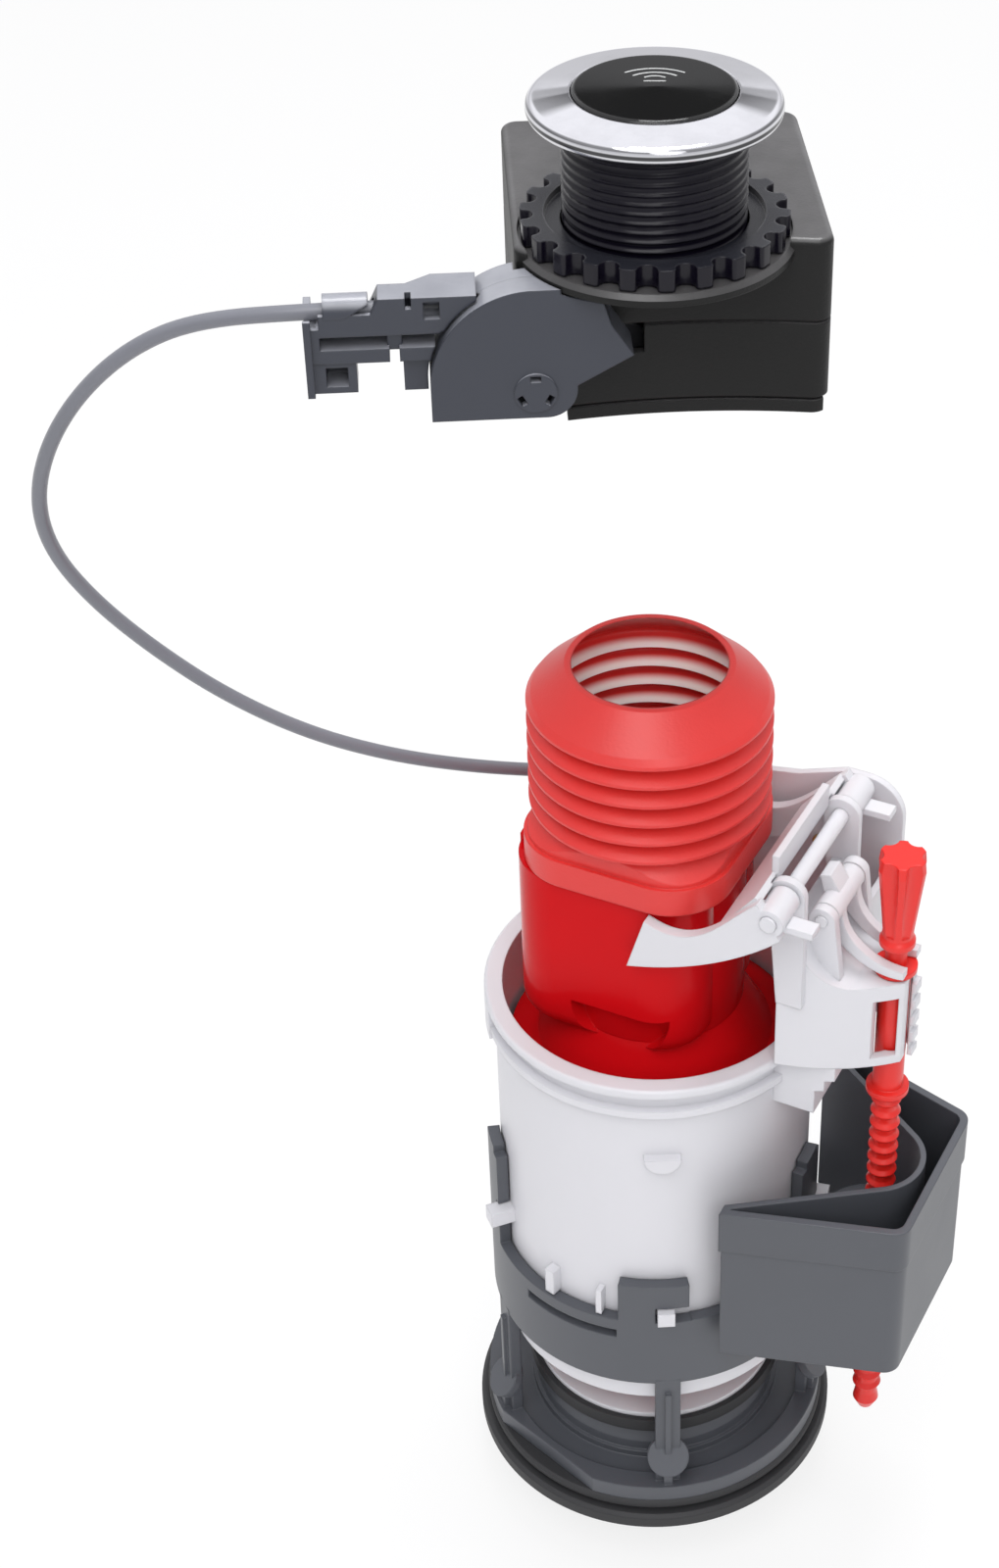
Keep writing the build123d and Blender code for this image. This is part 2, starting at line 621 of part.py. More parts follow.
def folds_profile(inset):
    """Zigzag half section from the foot to the lip, moved in by the wall."""
    points = [(VALLEY_RADIUS - inset, BELLOWS_FOOT)]
    ridge = RIDGE_RADIUS - inset
    level = BELLOWS_FOOT + FOLD_START
    for index in range(FOLD_COUNT):
        level = BELLOWS_FOOT + FOLD_START + index * FOLD_PITCH
        points.append((ridge, level - FOLD_FLAT / 2))
        points.append((ridge, level + FOLD_FLAT / 2))
        if index < FOLD_COUNT - 1:
            points.append((VALLEY_RADIUS - inset, level + FOLD_PITCH / 2))
    points.append((ridge - SHOULDER_DROP, level + SHOULDER_RISE))
    points.append((LIP_RADIUS - inset, level + LIP_RISE))
    return points


def overflow_bellows():
    folds = Pos(BELLOWS_SHIFT, 0) * turned(folds_profile(0) + folds_profile(BELLOWS_WALL)[::-1])
    rim = COLLAR_LEDGE + BELLOWS_WALL
    collar = slab(collar_section(0) - collar_section(BELLOWS_WALL), COLLAR_LOW, COLLAR_HIGH)
    ledge = slab(collar_section(0) - collar_section(rim), COLLAR_HIGH - BELLOWS_WALL, COLLAR_HIGH)
    return collar + ledge + (skirt(0) - skirt(BELLOWS_WALL)) + folds


def tower_plan(inset):
    """Tapered plan of the tower with slightly bulged side walls."""
    x_in = TOWER_IN + inset
    x_out = TOWER_OUT - inset
    half_in = TOWER_HALF_IN - inset
    half_out = TOWER_HALF_OUT - inset
    middle = ((x_in + x_out) / 2, (half_in + half_out) / 2 + TOWER_BULGE)
    front = ThreePointArc((x_in, -half_in), (middle[0], -middle[1]), (x_out, -half_out))
    back = ThreePointArc((x_out, half_out), middle, (x_in, half_in))
    nose = Line((x_out, -half_out), (x_out, half_out))
    return make_face(front + nose + back + Line((x_in, half_in), (x_in, -half_in)))


def tower_side(drop):
    """Side view under the tower's curved top, lowered by the skin."""
    high = TOWER_HIGH - drop
    low = TOWER_PLATE - drop
    shoulder = TOWER_IN + SHOULDER_REACH - drop / 2
    flat = TOWER_IN + PLATE_REACH
    bend = (shoulder + 0.32 * (flat - shoulder), low + 0.32 * (high - low))
    left = TOWER_IN - 5
    right = TOWER_OUT + 5
    outline = Polyline((left, RIM_TOP), (left, high), (shoulder, high))
    outline += ThreePointArc((shoulder, high), bend, (flat, low))
    return outline + Polyline((flat, low), (right, low), (right, RIM_TOP), (left, RIM_TOP))


def tower():
    """Hollow tower with the screw's window and a notched strip on its nose."""
    reach = 2 * TOWER_HALF_IN
    body = slab(tower_plan(0), RIM_TOP, TOWER_HIGH) & plate(tower_side(0), -reach, reach)
    body -= slab(tower_plan(WALL), RIM_TOP, TOWER_HIGH) & plate(tower_side(WALL), -reach, reach)
    window_low = RIM_TOP + 2.6
    window_high = TOWER_PLATE - 4.5
    body -= block((SCREW_X - 2, -reach, window_low), (SCREW_X + 3, reach, window_high))
    strip = block((TOWER_OUT - 0.5, 0.2, RIM_TOP - 1), (TOWER_OUT + 1.4, 3.6, window_high + 1))
    pitch = (window_high - RIM_TOP) / STRIP_NOTCHES
    for index in range(STRIP_NOTCHES):
        notch = RIM_TOP + 1 + pitch * index
        strip -= block((TOWER_OUT + 0.6, 0, notch), (TOWER_OUT + 3, 6, notch + 0.44 * pitch))
    body += strip
    return body - Pos(SCREW_X, 0) * slab(Circle(SCREW_RADIUS + PLAY), RIM_TOP - 5, TOWER_PLATE + 5)


def rear_shield():
    """Guard behind the fork, with one large round corner."""
    foot = RIM_TOP + 2
    left = TOWER_IN + 4
    crest = FORK_X - 5
    outline = Polyline(
        (SHIELD_LEFT, RIM_TOP + 8), (SHIELD_LEFT, SHIELD_HIGH - 8), (crest - 12, SHIELD_HIGH - 4.5),
        (crest, SHIELD_HIGH), (SHIELD_RIGHT, SHIELD_HIGH), (SHIELD_RIGHT, foot), (left, foot), close=True)
    face = make_face(outline)
    corner = face.vertices().sort_by(Axis.X)[-2:].sort_by(Axis.Y)[-1]
    face = fillet([corner], SHIELD_CORNER)
    guard = extrude(Plane.XZ.offset(-SHIELD_OUT) * face, amount=SHIELD_THICK)
    end_low = (SHIELD_RIGHT - WALL, TOWER_HALF_IN - 6, foot)
    end = block(end_low, (SHIELD_RIGHT, SHIELD_IN + 1, TOWER_PLATE + 8))
    floor = block((left, TOWER_HALF_IN - 3, foot), (SHIELD_RIGHT, SHIELD_IN + 1, foot + 2))
    return guard + end + floor


def pivot_ears():
    """Ears for the fork's pin and lugs for the latch's pin."""
    eye = PIN_RADIUS + EYE_WALL
    foot = RIM_TOP + EAR_FOOT
    ear = plate(Polyline(
        (TOWER_IN, foot), (FORK_X - eye, FORK_Z), (FORK_X + eye, FORK_Z),
        (TOWER_IN + SHOULDER_REACH + 1.5, foot), close=True), PIVOT_IN, PIVOT_OUT)
    ear += rod_y(FORK_X, FORK_Z, eye, PIVOT_IN, PIVOT_OUT)
    eye = LATCH_PIN_RADIUS + LATCH_EYE_WALL
    lug = plate(Polyline(
        (LATCH_X - eye, TOWER_PLATE + 6), (LATCH_X - eye, LATCH_Z), (LATCH_X + eye, LATCH_Z),
        (LATCH_X + eye + 2, TOWER_PLATE + 1), close=True), LUG_IN, LUG_OUT)
    lug += rod_y(LATCH_X, LATCH_Z, eye, LUG_IN, LUG_OUT)
    return both_sides(ear + lug)


def head_frame():
    body = tower() + rear_shield() + pivot_ears()
    body -= rod_y(FORK_X, FORK_Z, PIN_RADIUS, -FORK_ARM_IN, FORK_ARM_IN)
    return body - rod_y(LATCH_X, LATCH_Z, LATCH_PIN_RADIUS, -2 * LUG_OUT, 2 * LUG_OUT)


def fork_pin():
    end = FORK_ARM_OUT + 0.8
    return rod_y(FORK_X, FORK_Z, PIN_RADIUS, -end, end)


def latch_pin():
    end = LUG_OUT + 0.6
    return rod_y(LATCH_X, LATCH_Z, LATCH_PIN_RADIUS, -end, end)


def fork_arm_outline():
    """Side view of one arm: a tapered finger under the collar, rising to the pivot."""
    under = COLLAR_LOW - SEAT_GAP - FORK_UNDER
    tip = FORK_X - FORK_TIP
    upper = Spline(
        (tip, under), (tip + 11.7, under - 0.4), (FORK_X - 11.2, under + 6), (FORK_X - 3, FORK_Z + 4.5))
    lower = Spline((FORK_X + 3, FORK_Z - 4.2), (FORK_X - 13, under - 6), (tip - 4.5, under - FORK_TIP_HEIGHT))
    return upper + Line(upper @ 1, lower @ 0) + lower + Line(lower @ 1, upper @ 0)


def fork_bridge():
    """Half of the sloping plate between the arms, with a fin on its upper edge."""
    low = (FORK_X - 12.4, FORK_Z - 9.2)
    high = (FORK_X - 3.0, FORK_Z + 3.2)
    run = math.dist(low, high)
    across = (-(high[1] - low[1]) / run * BRIDGE_THICK, (high[0] - low[0]) / run * BRIDGE_THICK)
    outline = Polyline(
        low, high, (high[0] + across[0], high[1] + across[1]), (low[0] + across[0], low[1] + across[1]),
        close=True)
    bridge = plate(outline, 0, FORK_ARM_IN + PLAY)
    eye = PIN_RADIUS + EYE_WALL + PLAY
    bridge -= rod_y(FORK_X, FORK_Z, eye, PIVOT_IN - PLAY, PIVOT_OUT + PLAY)
    fin_left = high[0] - BRIDGE_THICK
    fin = block((fin_left, 0, high[1] - 1), (fin_left + BRIDGE_THICK, PIVOT_IN - PLAY, FORK_Z + 8.6))
    tab = block((FORK_X + 2, PIVOT_OUT + 4, FORK_Z - 3), (FORK_X + 10, FORK_ARM_IN + 1, FORK_Z - 1.2))
    return bridge + fin + tab


def fork_lever():
    """Lever with two arms round the tube, turning on the pin in the head's ears."""
    hub = PIN_RADIUS + HUB_WALL
    arm = plate(fork_arm_outline(), FORK_ARM_IN, FORK_ARM_OUT)
    arm += rod_y(FORK_X, FORK_Z, hub, PIVOT_OUT + PLAY, FORK_ARM_OUT)
    body = both_sides(arm + fork_bridge())
    horn_in = PIVOT_OUT + 2.7
    horn = Polyline(
        (FORK_X - 12, FORK_Z - 7.6), (FORK_X - 5, FORK_Z + 1.6), (FORK_X - 3, FORK_Z - 11),
        (NIPPLE_X, NIPPLE_Z - 4), close=True)
    body += plate(horn, horn_in, horn_in + 3)
    body -= rod_y(NIPPLE_X, NIPPLE_Z, HORN_NIPPLE, horn_in - 1, horn_in + 4)
    return body - rod_y(FORK_X, FORK_Z, PIN_RADIUS + RUN_GAP, -FORK_ARM_OUT - 1, FORK_ARM_OUT + 1)


def fork_nipple():
    horn_in = PIVOT_OUT + 2.7
    return rod_y(NIPPLE_X, NIPPLE_Z, HORN_NIPPLE, horn_in - 0.9, horn_in + 3.9)


def latch_arm():
    """Curved latch: a hub on its pin and two prongs over the screw's top flange."""
    hub = LATCH_PIN_RADIUS + LATCH_EYE_WALL - 0.1
    prong_in = SCREW_NECK + 0.6
    rest = TOP_FLANGE_HIGH + 0.4
    tip = SCREW_X + 4
    upper = Spline(
        (LATCH_X + hub, LATCH_Z), (LATCH_X + 7, LATCH_Z - 9), (tip - 5.5, rest + 2.6), (tip, rest + 2.0))
    lower = Spline((tip, rest), (tip - 6, rest), (LATCH_X + 5, LATCH_Z - 11.4), (LATCH_X - hub, LATCH_Z))
    outline = upper + Line(upper @ 1, lower @ 0) + lower + Line(lower @ 1, upper @ 0)
    body = both_sides(plate(outline, prong_in, prong_in + 2.6))
    width = LUG_IN - 0.4
    body += rod_y(LATCH_X, LATCH_Z, hub, -width, width)
    hook = Polyline(
        (LATCH_X - 2.5, LATCH_Z + 1), (LATCH_X - 3.9, LATCH_Z + 6.4), (LATCH_X - 1.3, LATCH_Z + 7.2),
        (LATCH_X + 1.5, LATCH_Z + 2.4), close=True)
    body += plate(hook, -3, 3)
    return body - rod_y(LATCH_X, LATCH_Z, LATCH_PIN_RADIUS + RUN_GAP, -LUG_IN, LUG_IN)


def float_screw():
    """Ridged adjusting screw with two flanges and a fluted knob."""
    tip_round = SCREW_RADIUS - 0.35
    points = [(0, SCREW_TIP - 3.4), (2, SCREW_TIP - 3), (tip_round, SCREW_TIP), (SCREW_CORE, SCREW_TIP + 3)]
    level = SCREW_TIP + 5
    while level < LOW_FLANGE_Z - SCREW_PITCH:
        points += [(SCREW_CORE, level), (SCREW_RADIUS, level + 0.3 * SCREW_PITCH)]
        points.append((SCREW_CORE, level + 0.6 * SCREW_PITCH))
        level += SCREW_PITCH
    low_high = LOW_FLANGE_Z + 1.6
    points += [
        (SCREW_CORE, LOW_FLANGE_Z), (LOW_FLANGE_RADIUS, LOW_FLANGE_Z), (LOW_FLANGE_RADIUS, low_high),
        (SCREW_RADIUS, low_high + 0.4), (SCREW_RADIUS, TOP_FLANGE_LOW), (TOP_FLANGE_RADIUS, TOP_FLANGE_LOW),
        (TOP_FLANGE_RADIUS, TOP_FLANGE_HIGH), (SCREW_NECK, TOP_FLANGE_HIGH), (SCREW_NECK, KNOB_LOW),
        (KNOB_FOOT + 0.7, KNOB_LOW + 0.6), (KNOB_FOOT + 0.7, KNOB_LOW + 2), (KNOB_FOOT, KNOB_LOW + 3),
        (KNOB_RADIUS, KNOB_TOP - 3), (KNOB_RADIUS - 0.4, KNOB_TOP), (0, KNOB_TOP),
    ]
    body = turned(points)
    foot = KNOB_LOW + 4
    start = KNOB_FOOT + FLUTE_RADIUS - 0.3
    end = KNOB_RADIUS + FLUTE_RADIUS - FLUTE_DEPTH
    tilt = math.degrees(math.atan2(end - start, KNOB_TOP - foot))
    flute = Pos(start, 0, foot) * Rot(0, tilt, 0) * slab(Circle(FLUTE_RADIUS), 0, KNOB_HEIGHT)
    for index in range(KNOB_FLUTES):
        body -= Rot(0, 0, 360 / KNOB_FLUTES * index + 20) * flute
    return Pos(SCREW_X, 0) * body


def cup_face(inset, grow=0.0):
    """Plan of the horseshoe cup: a tapered outside round an open well for the screw."""
    out = CUP_OUT - inset + grow
    slope = CUP_FLARE / CUP_DEPTH
    shift = (inset - grow) * math.hypot(1, slope)
    half_out = CUP_HALF_OUT + slope * (CUP_OUT - out) - shift
    inner = CUP_IN + inset - grow
    half_in = CUP_HALF_OUT + slope * (CUP_OUT - inner) - shift
    outside = make_face(Polyline(
        (inner, -half_in), (out, -half_out), (out, half_out), (inner, half_in), close=True))
    outside = fillet(outside.vertices().sort_by(Axis.X)[-2:], max(CUP_CORNER - inset, 1))
    radius = WELL_RADIUS + inset
    angle = math.radians(WELL_SLOPE)
    touch = (WELL_X + radius * math.sin(angle), radius * math.cos(angle))
    mouth_x = CUP_IN - WELL_RADIUS
    mouth_y = touch[1] + (touch[0] - mouth_x) * math.tan(angle)
    arc = ThreePointArc((touch[0], -touch[1]), (WELL_X + radius, 0), touch)
    sides = Polyline(touch, (mouth_x, mouth_y), (mouth_x, -mouth_y), (touch[0], -touch[1]))
    return outside - make_face(arc + sides)


def float_cup():
    band = CUP_RIM - CUP_BAND_HEIGHT
    body = slab(cup_face(0), CUP_LOW, CUP_RIM) + slab(cup_face(0, CUP_BAND_STEP), band, CUP_RIM)
    body -= slab(cup_face(CUP_WALL), CUP_LOW + CUP_WALL, CUP_RIM + 1)
    web = CUP_LOW + WEB_RISE
    body += slab(Pos(WELL_X, 0) * Circle(WELL_RADIUS + CUP_WALL / 2), web, web + WEB_HEIGHT)
    return body - Pos(SCREW_X, 0) * slab(Circle(SCREW_RADIUS + CUP_BORE_FIT), CUP_LOW, CUP_RIM)


def case_plan(inset):
    """Case plan: three straight sides and a hollow front."""
    left = CASE_LEFT + inset
    right = CASE_RIGHT - inset
    front = CASE_FRONT + inset
    back = CASE_BACK - inset
    hollow = ThreePointArc((left, front), ((left + right) / 2, front + CASE_HOLLOW), (right, front))
    sides = Polyline((right, front), (right, back), (left, back), (left, front))
    face = make_face(hollow + sides)
    return fillet(face.vertices(), CASE_CORNER - inset / 2)


def board_posts():
    post = 2 * POST_RADIUS
    columns = (BOARD_LEFT + post, BOARD_RIGHT - post)
    return [(x, y) for x in columns for y in (BOARD_FRONT + post, BOARD_BACK - post)]


def upper_case():
    """Upper shell with a round sunk pad for the nut and a cup that the stem stands in."""
    shell = slab(case_plan(0), CASE_SEAM, CASE_TOP)
    shell = fillet(shell.faces().sort_by(Axis.Z)[-1].edges(), CASE_EDGE)
    shell -= slab(case_plan(CASE_WALL), CASE_SEAM, CASE_TOP - CASE_WALL)
    pad = turned([
        (0, PAD_LOW), (PAD_RADIUS - PAD_TAPER, PAD_LOW), (PAD_RADIUS, PAD_RIM_LOW), (PAD_RADIUS, PAD_TOP - 1),
        (PAD_RADIUS - 1, PAD_TOP), (0, PAD_TOP),
    ])
    collar = slab(Circle(PAD_RADIUS + PAD_COLLAR) & case_plan(CASE_WALL / 4), PAD_LOW, CASE_TOP - 1)
    body = shell + pad + collar
    body -= slab(Circle(NUT_TIP + PLAY), PAD_TOP, CASE_TOP + 1)
    body -= slab(Circle(SHANK_RADIUS + SHANK_FIT), SHANK_FOOT, PAD_TOP + 1)
    body -= slab(Circle(WIRE_HOLE), PAD_LOW - 1, PAD_TOP)
    for x, y in board_posts():
        body += Pos(x, y) * slab(Circle(POST_RADIUS), BOARD_TOP, CASE_TOP - CASE_WALL + 0.5)
    return body


def cover_bolt_places():
    middle = (COVER_FRONT + COVER_BACK) / 2
    return [(COVER_LEFT - 4, middle), (COVER_RIGHT + 2.6, middle)]


def lower_case():
    """Lower shell with shadow lines at its seams and a notch beside the pulley."""
    shell = slab(case_plan(SEAM_INSET), CASE_LOW, CASE_SEAM)
    shell += slab(case_plan(0), CASE_LOW + SEAM_HEIGHT, CASE_SEAM - SEAM_HEIGHT)
    shell -= slab(case_plan(CASE_WALL), CASE_LOW + CASE_WALL, CASE_SEAM)
    shell -= block((COVER_LEFT, COVER_FRONT, CASE_LOW - 1), (COVER_RIGHT, COVER_BACK, CASE_LOW + CASE_WALL))
    for x, y in cover_bolt_places():
        shell -= Pos(x, y) * slab(Circle(COVER_HOLE), CASE_LOW - 1, CASE_LOW + CASE_WALL)
    shell -= block(
        (NOTCH_RIGHT - NOTCH_WIDTH, CASE_FRONT - 1, CASE_SEAM - NOTCH_HEIGHT),
        (NOTCH_RIGHT, CASE_FRONT + CASE_WALL + CASE_HOLLOW, CASE_SEAM + 1))
    return shell - rod_y(PULLEY_X, PULLEY_Z, SHAFT_RADIUS + PLAY, CASE_FRONT - 1, SHAFT_END + PLAY)


def cover_plan():
    span = 2 * (CASE_RIGHT - CASE_LEFT + CASE_BACK - CASE_FRONT)
    keep_right = Pos(COVER_LEFT - COVER_LAP, 0) * Rectangle(span, span, align=(Align.MIN, Align.CENTER))
    keep_left = Pos(CASE_RIGHT - 1.2, 0) * Rectangle(span, span, align=(Align.MAX, Align.CENTER))
    return case_plan(0) & keep_right & keep_left


def battery_cover():
    cover = slab(cover_plan(), CASE_LOW - COVER_THICK, CASE_LOW)
    cover += block(
        (COVER_LEFT + COVER_FIT, COVER_FRONT + COVER_FIT, CASE_LOW - 1),
        (COVER_RIGHT - COVER_FIT, COVER_BACK - COVER_FIT, CASE_LOW + CASE_WALL))
    for x, y in cover_bolt_places():
        cover -= Pos(x, y) * slab(Circle(COVER_HOLE), CASE_LOW - COVER_THICK - 1, CASE_LOW + 1)
    return cover


def cover_screws():
    face = CASE_LOW - COVER_THICK
    screw = slab(Circle(BOLT_HEAD), face - 1.2, face) + slab(Circle(COVER_BOLT), face, CASE_LOW + CASE_WALL)
    return [Pos(x, y) * screw for x, y in cover_bolt_places()]


def battery_cells():
    level = CASE_LOW + CASE_WALL + CELL_RADIUS + SEAT_GAP
    pitch = 2 * CELL_RADIUS + CELL_PITCH_GAP
    start = COVER_LEFT + 1 + CELL_RADIUS
    near = COVER_FRONT + 2
    far = near + CELL_LENGTH
    cell = rod_y(0, level, CELL_RADIUS, near, far - 1) + rod_y(0, level, CELL_NUB, far - 1, far)
    return [Pos(start + index * pitch, 0) * cell for index in range(CELL_COUNT)]


def circuit_board():
    board = block((BOARD_LEFT, BOARD_FRONT, BOARD_LOW), (BOARD_RIGHT, BOARD_BACK, BOARD_TOP))
    left = (BOARD_LEFT + BOARD_RIGHT) / 2 - 10
    chip = block((left, BOARD_FRONT + 7, BOARD_LOW - BOARD_THICK), (left + 9, BOARD_FRONT + 15, BOARD_LOW))
    return board + chip


def gear_motor():
    left = CASE_LEFT + CASE_WALL + SEAT_GAP
    right = COVER_LEFT - 1.5
    low = CASE_LOW + CASE_WALL
    near = SHAFT_END + PLAY
    far = near + GEARBOX_DEPTH
    gearbox = block((left, near, low), (right, far, low + GEARBOX_HEIGHT))
    motor = rod_y((left + right) / 2, low + MOTOR_RADIUS + PLAY, MOTOR_RADIUS, far, far + MOTOR_LENGTH)
    return gearbox + motor


def threaded_shank():
    return ring(SHANK_RADIUS, SHANK_BORE, SHANK_FOOT, SHANK_TOP + BEZEL_SOCKET)


def sensor_module():
    top = SHANK_TOP + BEZEL_SOCKET - SEAT_GAP
    low = top - MODULE_DEPTH
    puck = slab(Circle(SHANK_BORE - SEAT_GAP), low, top)
    return puck + slab(Rectangle(CONNECTOR[0], CONNECTOR[1]), low - CONNECTOR[2], low)


def bezel_ring():
    """Plated ring, with a socket in its underside for the stem's end."""
    low = SHANK_TOP
    inner = LENS_RADIUS + LENS_FIT
    socket = SHANK_RADIUS + SHANK_FIT
    edge = BEZEL_RADIUS - BEZEL_EDGE
    return turned([
        (inner, low + BEZEL_SOCKET), (socket, low + BEZEL_SOCKET), (socket, low), (edge, low),
        (BEZEL_RADIUS, low + BEZEL_EDGE), (BEZEL_RADIUS, low + 0.57 * BEZEL_RISE),
        (edge, low + 0.75 * BEZEL_RISE), (inner + 2.5, low + 0.96 * BEZEL_RISE), (inner, low + BEZEL_RISE),
    ])


def sensor_lens():
    low = SHANK_TOP + BEZEL_SOCKET
    top = SHANK_TOP + BEZEL_RISE
    return turned([
        (0, low), (LENS_RADIUS, low), (LENS_RADIUS, top + 0.1), (LENS_RADIUS - 0.5, top + 0.5),
        (0, top + LENS_CROWN),
    ])


def lock_nut():
    """Ring nut with rounded teeth and a dished upper face."""
    low = PAD_TOP + SEAT_GAP
    plan = Circle(NUT_TIP)
    notch = Pos(NUT_TIP - NUT_NOTCH_SHIFT, 0) * Circle(NUT_NOTCH)
    for index in range(NUT_TEETH):
        plan -= Rot(0, 0, 360 / NUT_TEETH * index) * notch
    plan = fillet(plan.vertices(), NUT_TOOTH_ROUND)
    bore = SHANK_RADIUS + SHANK_FIT
    nut = slab(plan, low, low + NUT_HEIGHT) - slab(Circle(bore), low - 1, low + NUT_HEIGHT + 1)
    dish = low + NUT_HEIGHT - NUT_DISH_DEPTH
    return nut - slab(Circle(SHANK_RADIUS + NUT_DISH), dish, low + NUT_HEIGHT + 1)


def pad_room():
    """Space under and round the case's pad."""
    low = PAD_LOW - SEAT_GAP
    high = PAD_TOP + 5
    outer = PAD_RADIUS + SEAT_GAP
    return turned([
        (0, low), (PAD_RADIUS - PAD_TAPER, low), (outer, PAD_RIM_LOW - SEAT_GAP), (outer, high), (0, high)])


def housing_outline(inset):
    """Side view of the pulley housing: a large round shoulder, a pointed nose and a round foot."""
    left = HOUSING_LEFT + inset
    low = HOUSING_LOW + inset
    top = HOUSING_TOP - inset
    crown_x = PULLEY_X - 1
    turn_z = PULLEY_Z + 2
    shoulder = ThreePointArc((left, turn_z), (left + 6.2, top - 6.4), (crown_x, top))
    nose_x = PULLEY_X + PULLEY_RADIUS + 2.4 - 1.8 * inset
    nose = Polyline(
        (crown_x, top), (nose_x - 7, top), (nose_x - 4.5, top - 8.3 + inset / 2),
        (nose_x, top - NOSE_DROP + inset), (nose_x - NOSE_CUT, top - NOSE_LOW + inset))
    heel = (nose_x - 12.8, PULLEY_Z - 3.4 + inset / 3)
    toe = PULLEY_X + 2.5
    foot = ThreePointArc(nose @ 1, heel, (toe, low))
    return shoulder + nose + foot + Polyline((toe, low), (left, low), (left, turn_z))


def cable_way(radius):
    """Space for the cable where it enters the housing."""
    return rod_x(PULLEY_Y, CABLE_Z, radius, HOLDER_LEFT - 2, PULLEY_X - PULLEY_RADIUS / 2)


def pulley_housing():
    """Back shell, wider beside the case than in front of it."""
    shell = plate(housing_outline(0), SPLIT_Y, BACK_Y)
    rear = plate(housing_outline(0), BACK_Y, REAR_Y)
    beside = CASE_LEFT - SEAT_GAP
    shell += rear & block((HOUSING_LEFT - 1, BACK_Y, HOUSING_LOW - 1), (beside, REAR_Y, HOUSING_TOP + 1))
    shell -= plate(housing_outline(HOUSING_WALL), SPLIT_Y, BACK_Y - HOUSING_WALL)
    shell -= rod_y(PULLEY_X, PULLEY_Z, SHAFT_RADIUS + RUN_GAP, SPLIT_Y, BACK_Y + 1)
    return shell - cable_way(CABLE_RADIUS + CABLE_FIT) - pad_room()


def pulley_cover():
    """Front shell with a slotted boss over the pulley's shaft."""
    cover = plate(housing_outline(0), FACE_Y, SPLIT_Y)
    cover -= plate(housing_outline(HOUSING_WALL), FACE_Y + HOUSING_WALL, SPLIT_Y)
    cover += rod_y(PULLEY_X, PULLEY_Z, BOSS_RADIUS, FACE_Y - 0.5, FACE_Y + HOUSING_WALL)
    slot = Pos(0, 0, BOSS_RADIUS - 1.2) * Box(2.2, 2 * HOUSING_WALL + 1.2, 1.3)
    for index in range(3):
        cover -= Pos(PULLEY_X, FACE_Y, PULLEY_Z) * Rot(0, 120 * index, 0) * slot
    return cover - cable_way(CABLE_RADIUS + CABLE_FIT) - pad_room()


def nipple_place():
    return PULLEY_X - PULLEY_RADIUS + 3, PULLEY_Z + 3


def cable_quadrant():
    """Grooved pulley segment on the motor's shaft."""
    rim = PULLEY_RADIUS + PULLEY_FLANGE
    quarter = Rot(0, 0, 88) * Rectangle(2 * rim, 2 * rim, align=(Align.MIN, Align.MIN))
    wheel = Pos(PULLEY_X, PULLEY_Z) * (Circle(rim) & quarter)
    body = extrude(Plane.XZ.offset(-PULLEY_FAR) * wheel, amount=PULLEY_THICK)
    body += rod_y(PULLEY_X, PULLEY_Z, SHAFT_RADIUS + 2.2, PULLEY_NEAR, PULLEY_FAR)
    body += rod_y(PULLEY_X, PULLEY_Z, SHAFT_RADIUS, PULLEY_NEAR, SHAFT_END)
    groove = ring(rim + 2, PULLEY_RADIUS - 0.6, -0.9, 0.9)
    body -= Pos(PULLEY_X, PULLEY_Y, PULLEY_Z) * Rot(90, 0, 0) * groove
    x, z = nipple_place()
    return body - rod_y(x, z, NIPPLE_RADIUS, PULLEY_NEAR - 1, PULLEY_FAR + 1)


def quadrant_nipple():
    x, z = nipple_place()
    return rod_y(x, z, NIPPLE_RADIUS, PULLEY_NEAR, PULLEY_FAR)


def holder_block(near, far):
    """Cable block with a sloped left end, a side window and a flat roof cut back to a point."""
    left = HOLDER_LEFT + 11.4
    right = HOUSING_LEFT + HOLDER_REACH
    roof = CABLE_Z + 3.6
    body = plate(Polyline(
        (left, CABLE_Z - 4), (left, CABLE_Z - 1), (left + 2.2, roof), (right, roof), (right, CABLE_Z - 4),
        close=True), near, PULLEY_Y + 3.4)
    plan = Polyline(
        (left + 2.2, near), (right, near), (right, far), (HOUSING_LEFT + 1, far), (left + 4.4, PULLEY_Y + 1),
        (left + 2.2, PULLEY_Y + 1), close=True)
    body += slab(make_face(plan), roof - 1.5, roof)
    step = left + 7.6
    body -= block((step, near - 1, roof - 2.4), (step + 1.2, PULLEY_Y - 0.5, roof + 1))
    window = HOUSING_LEFT - 0.6
    return body - block((window, near - 1, CABLE_Z - 1.2), (window + 3.2, near + 1.6, CABLE_Z + 2.6))


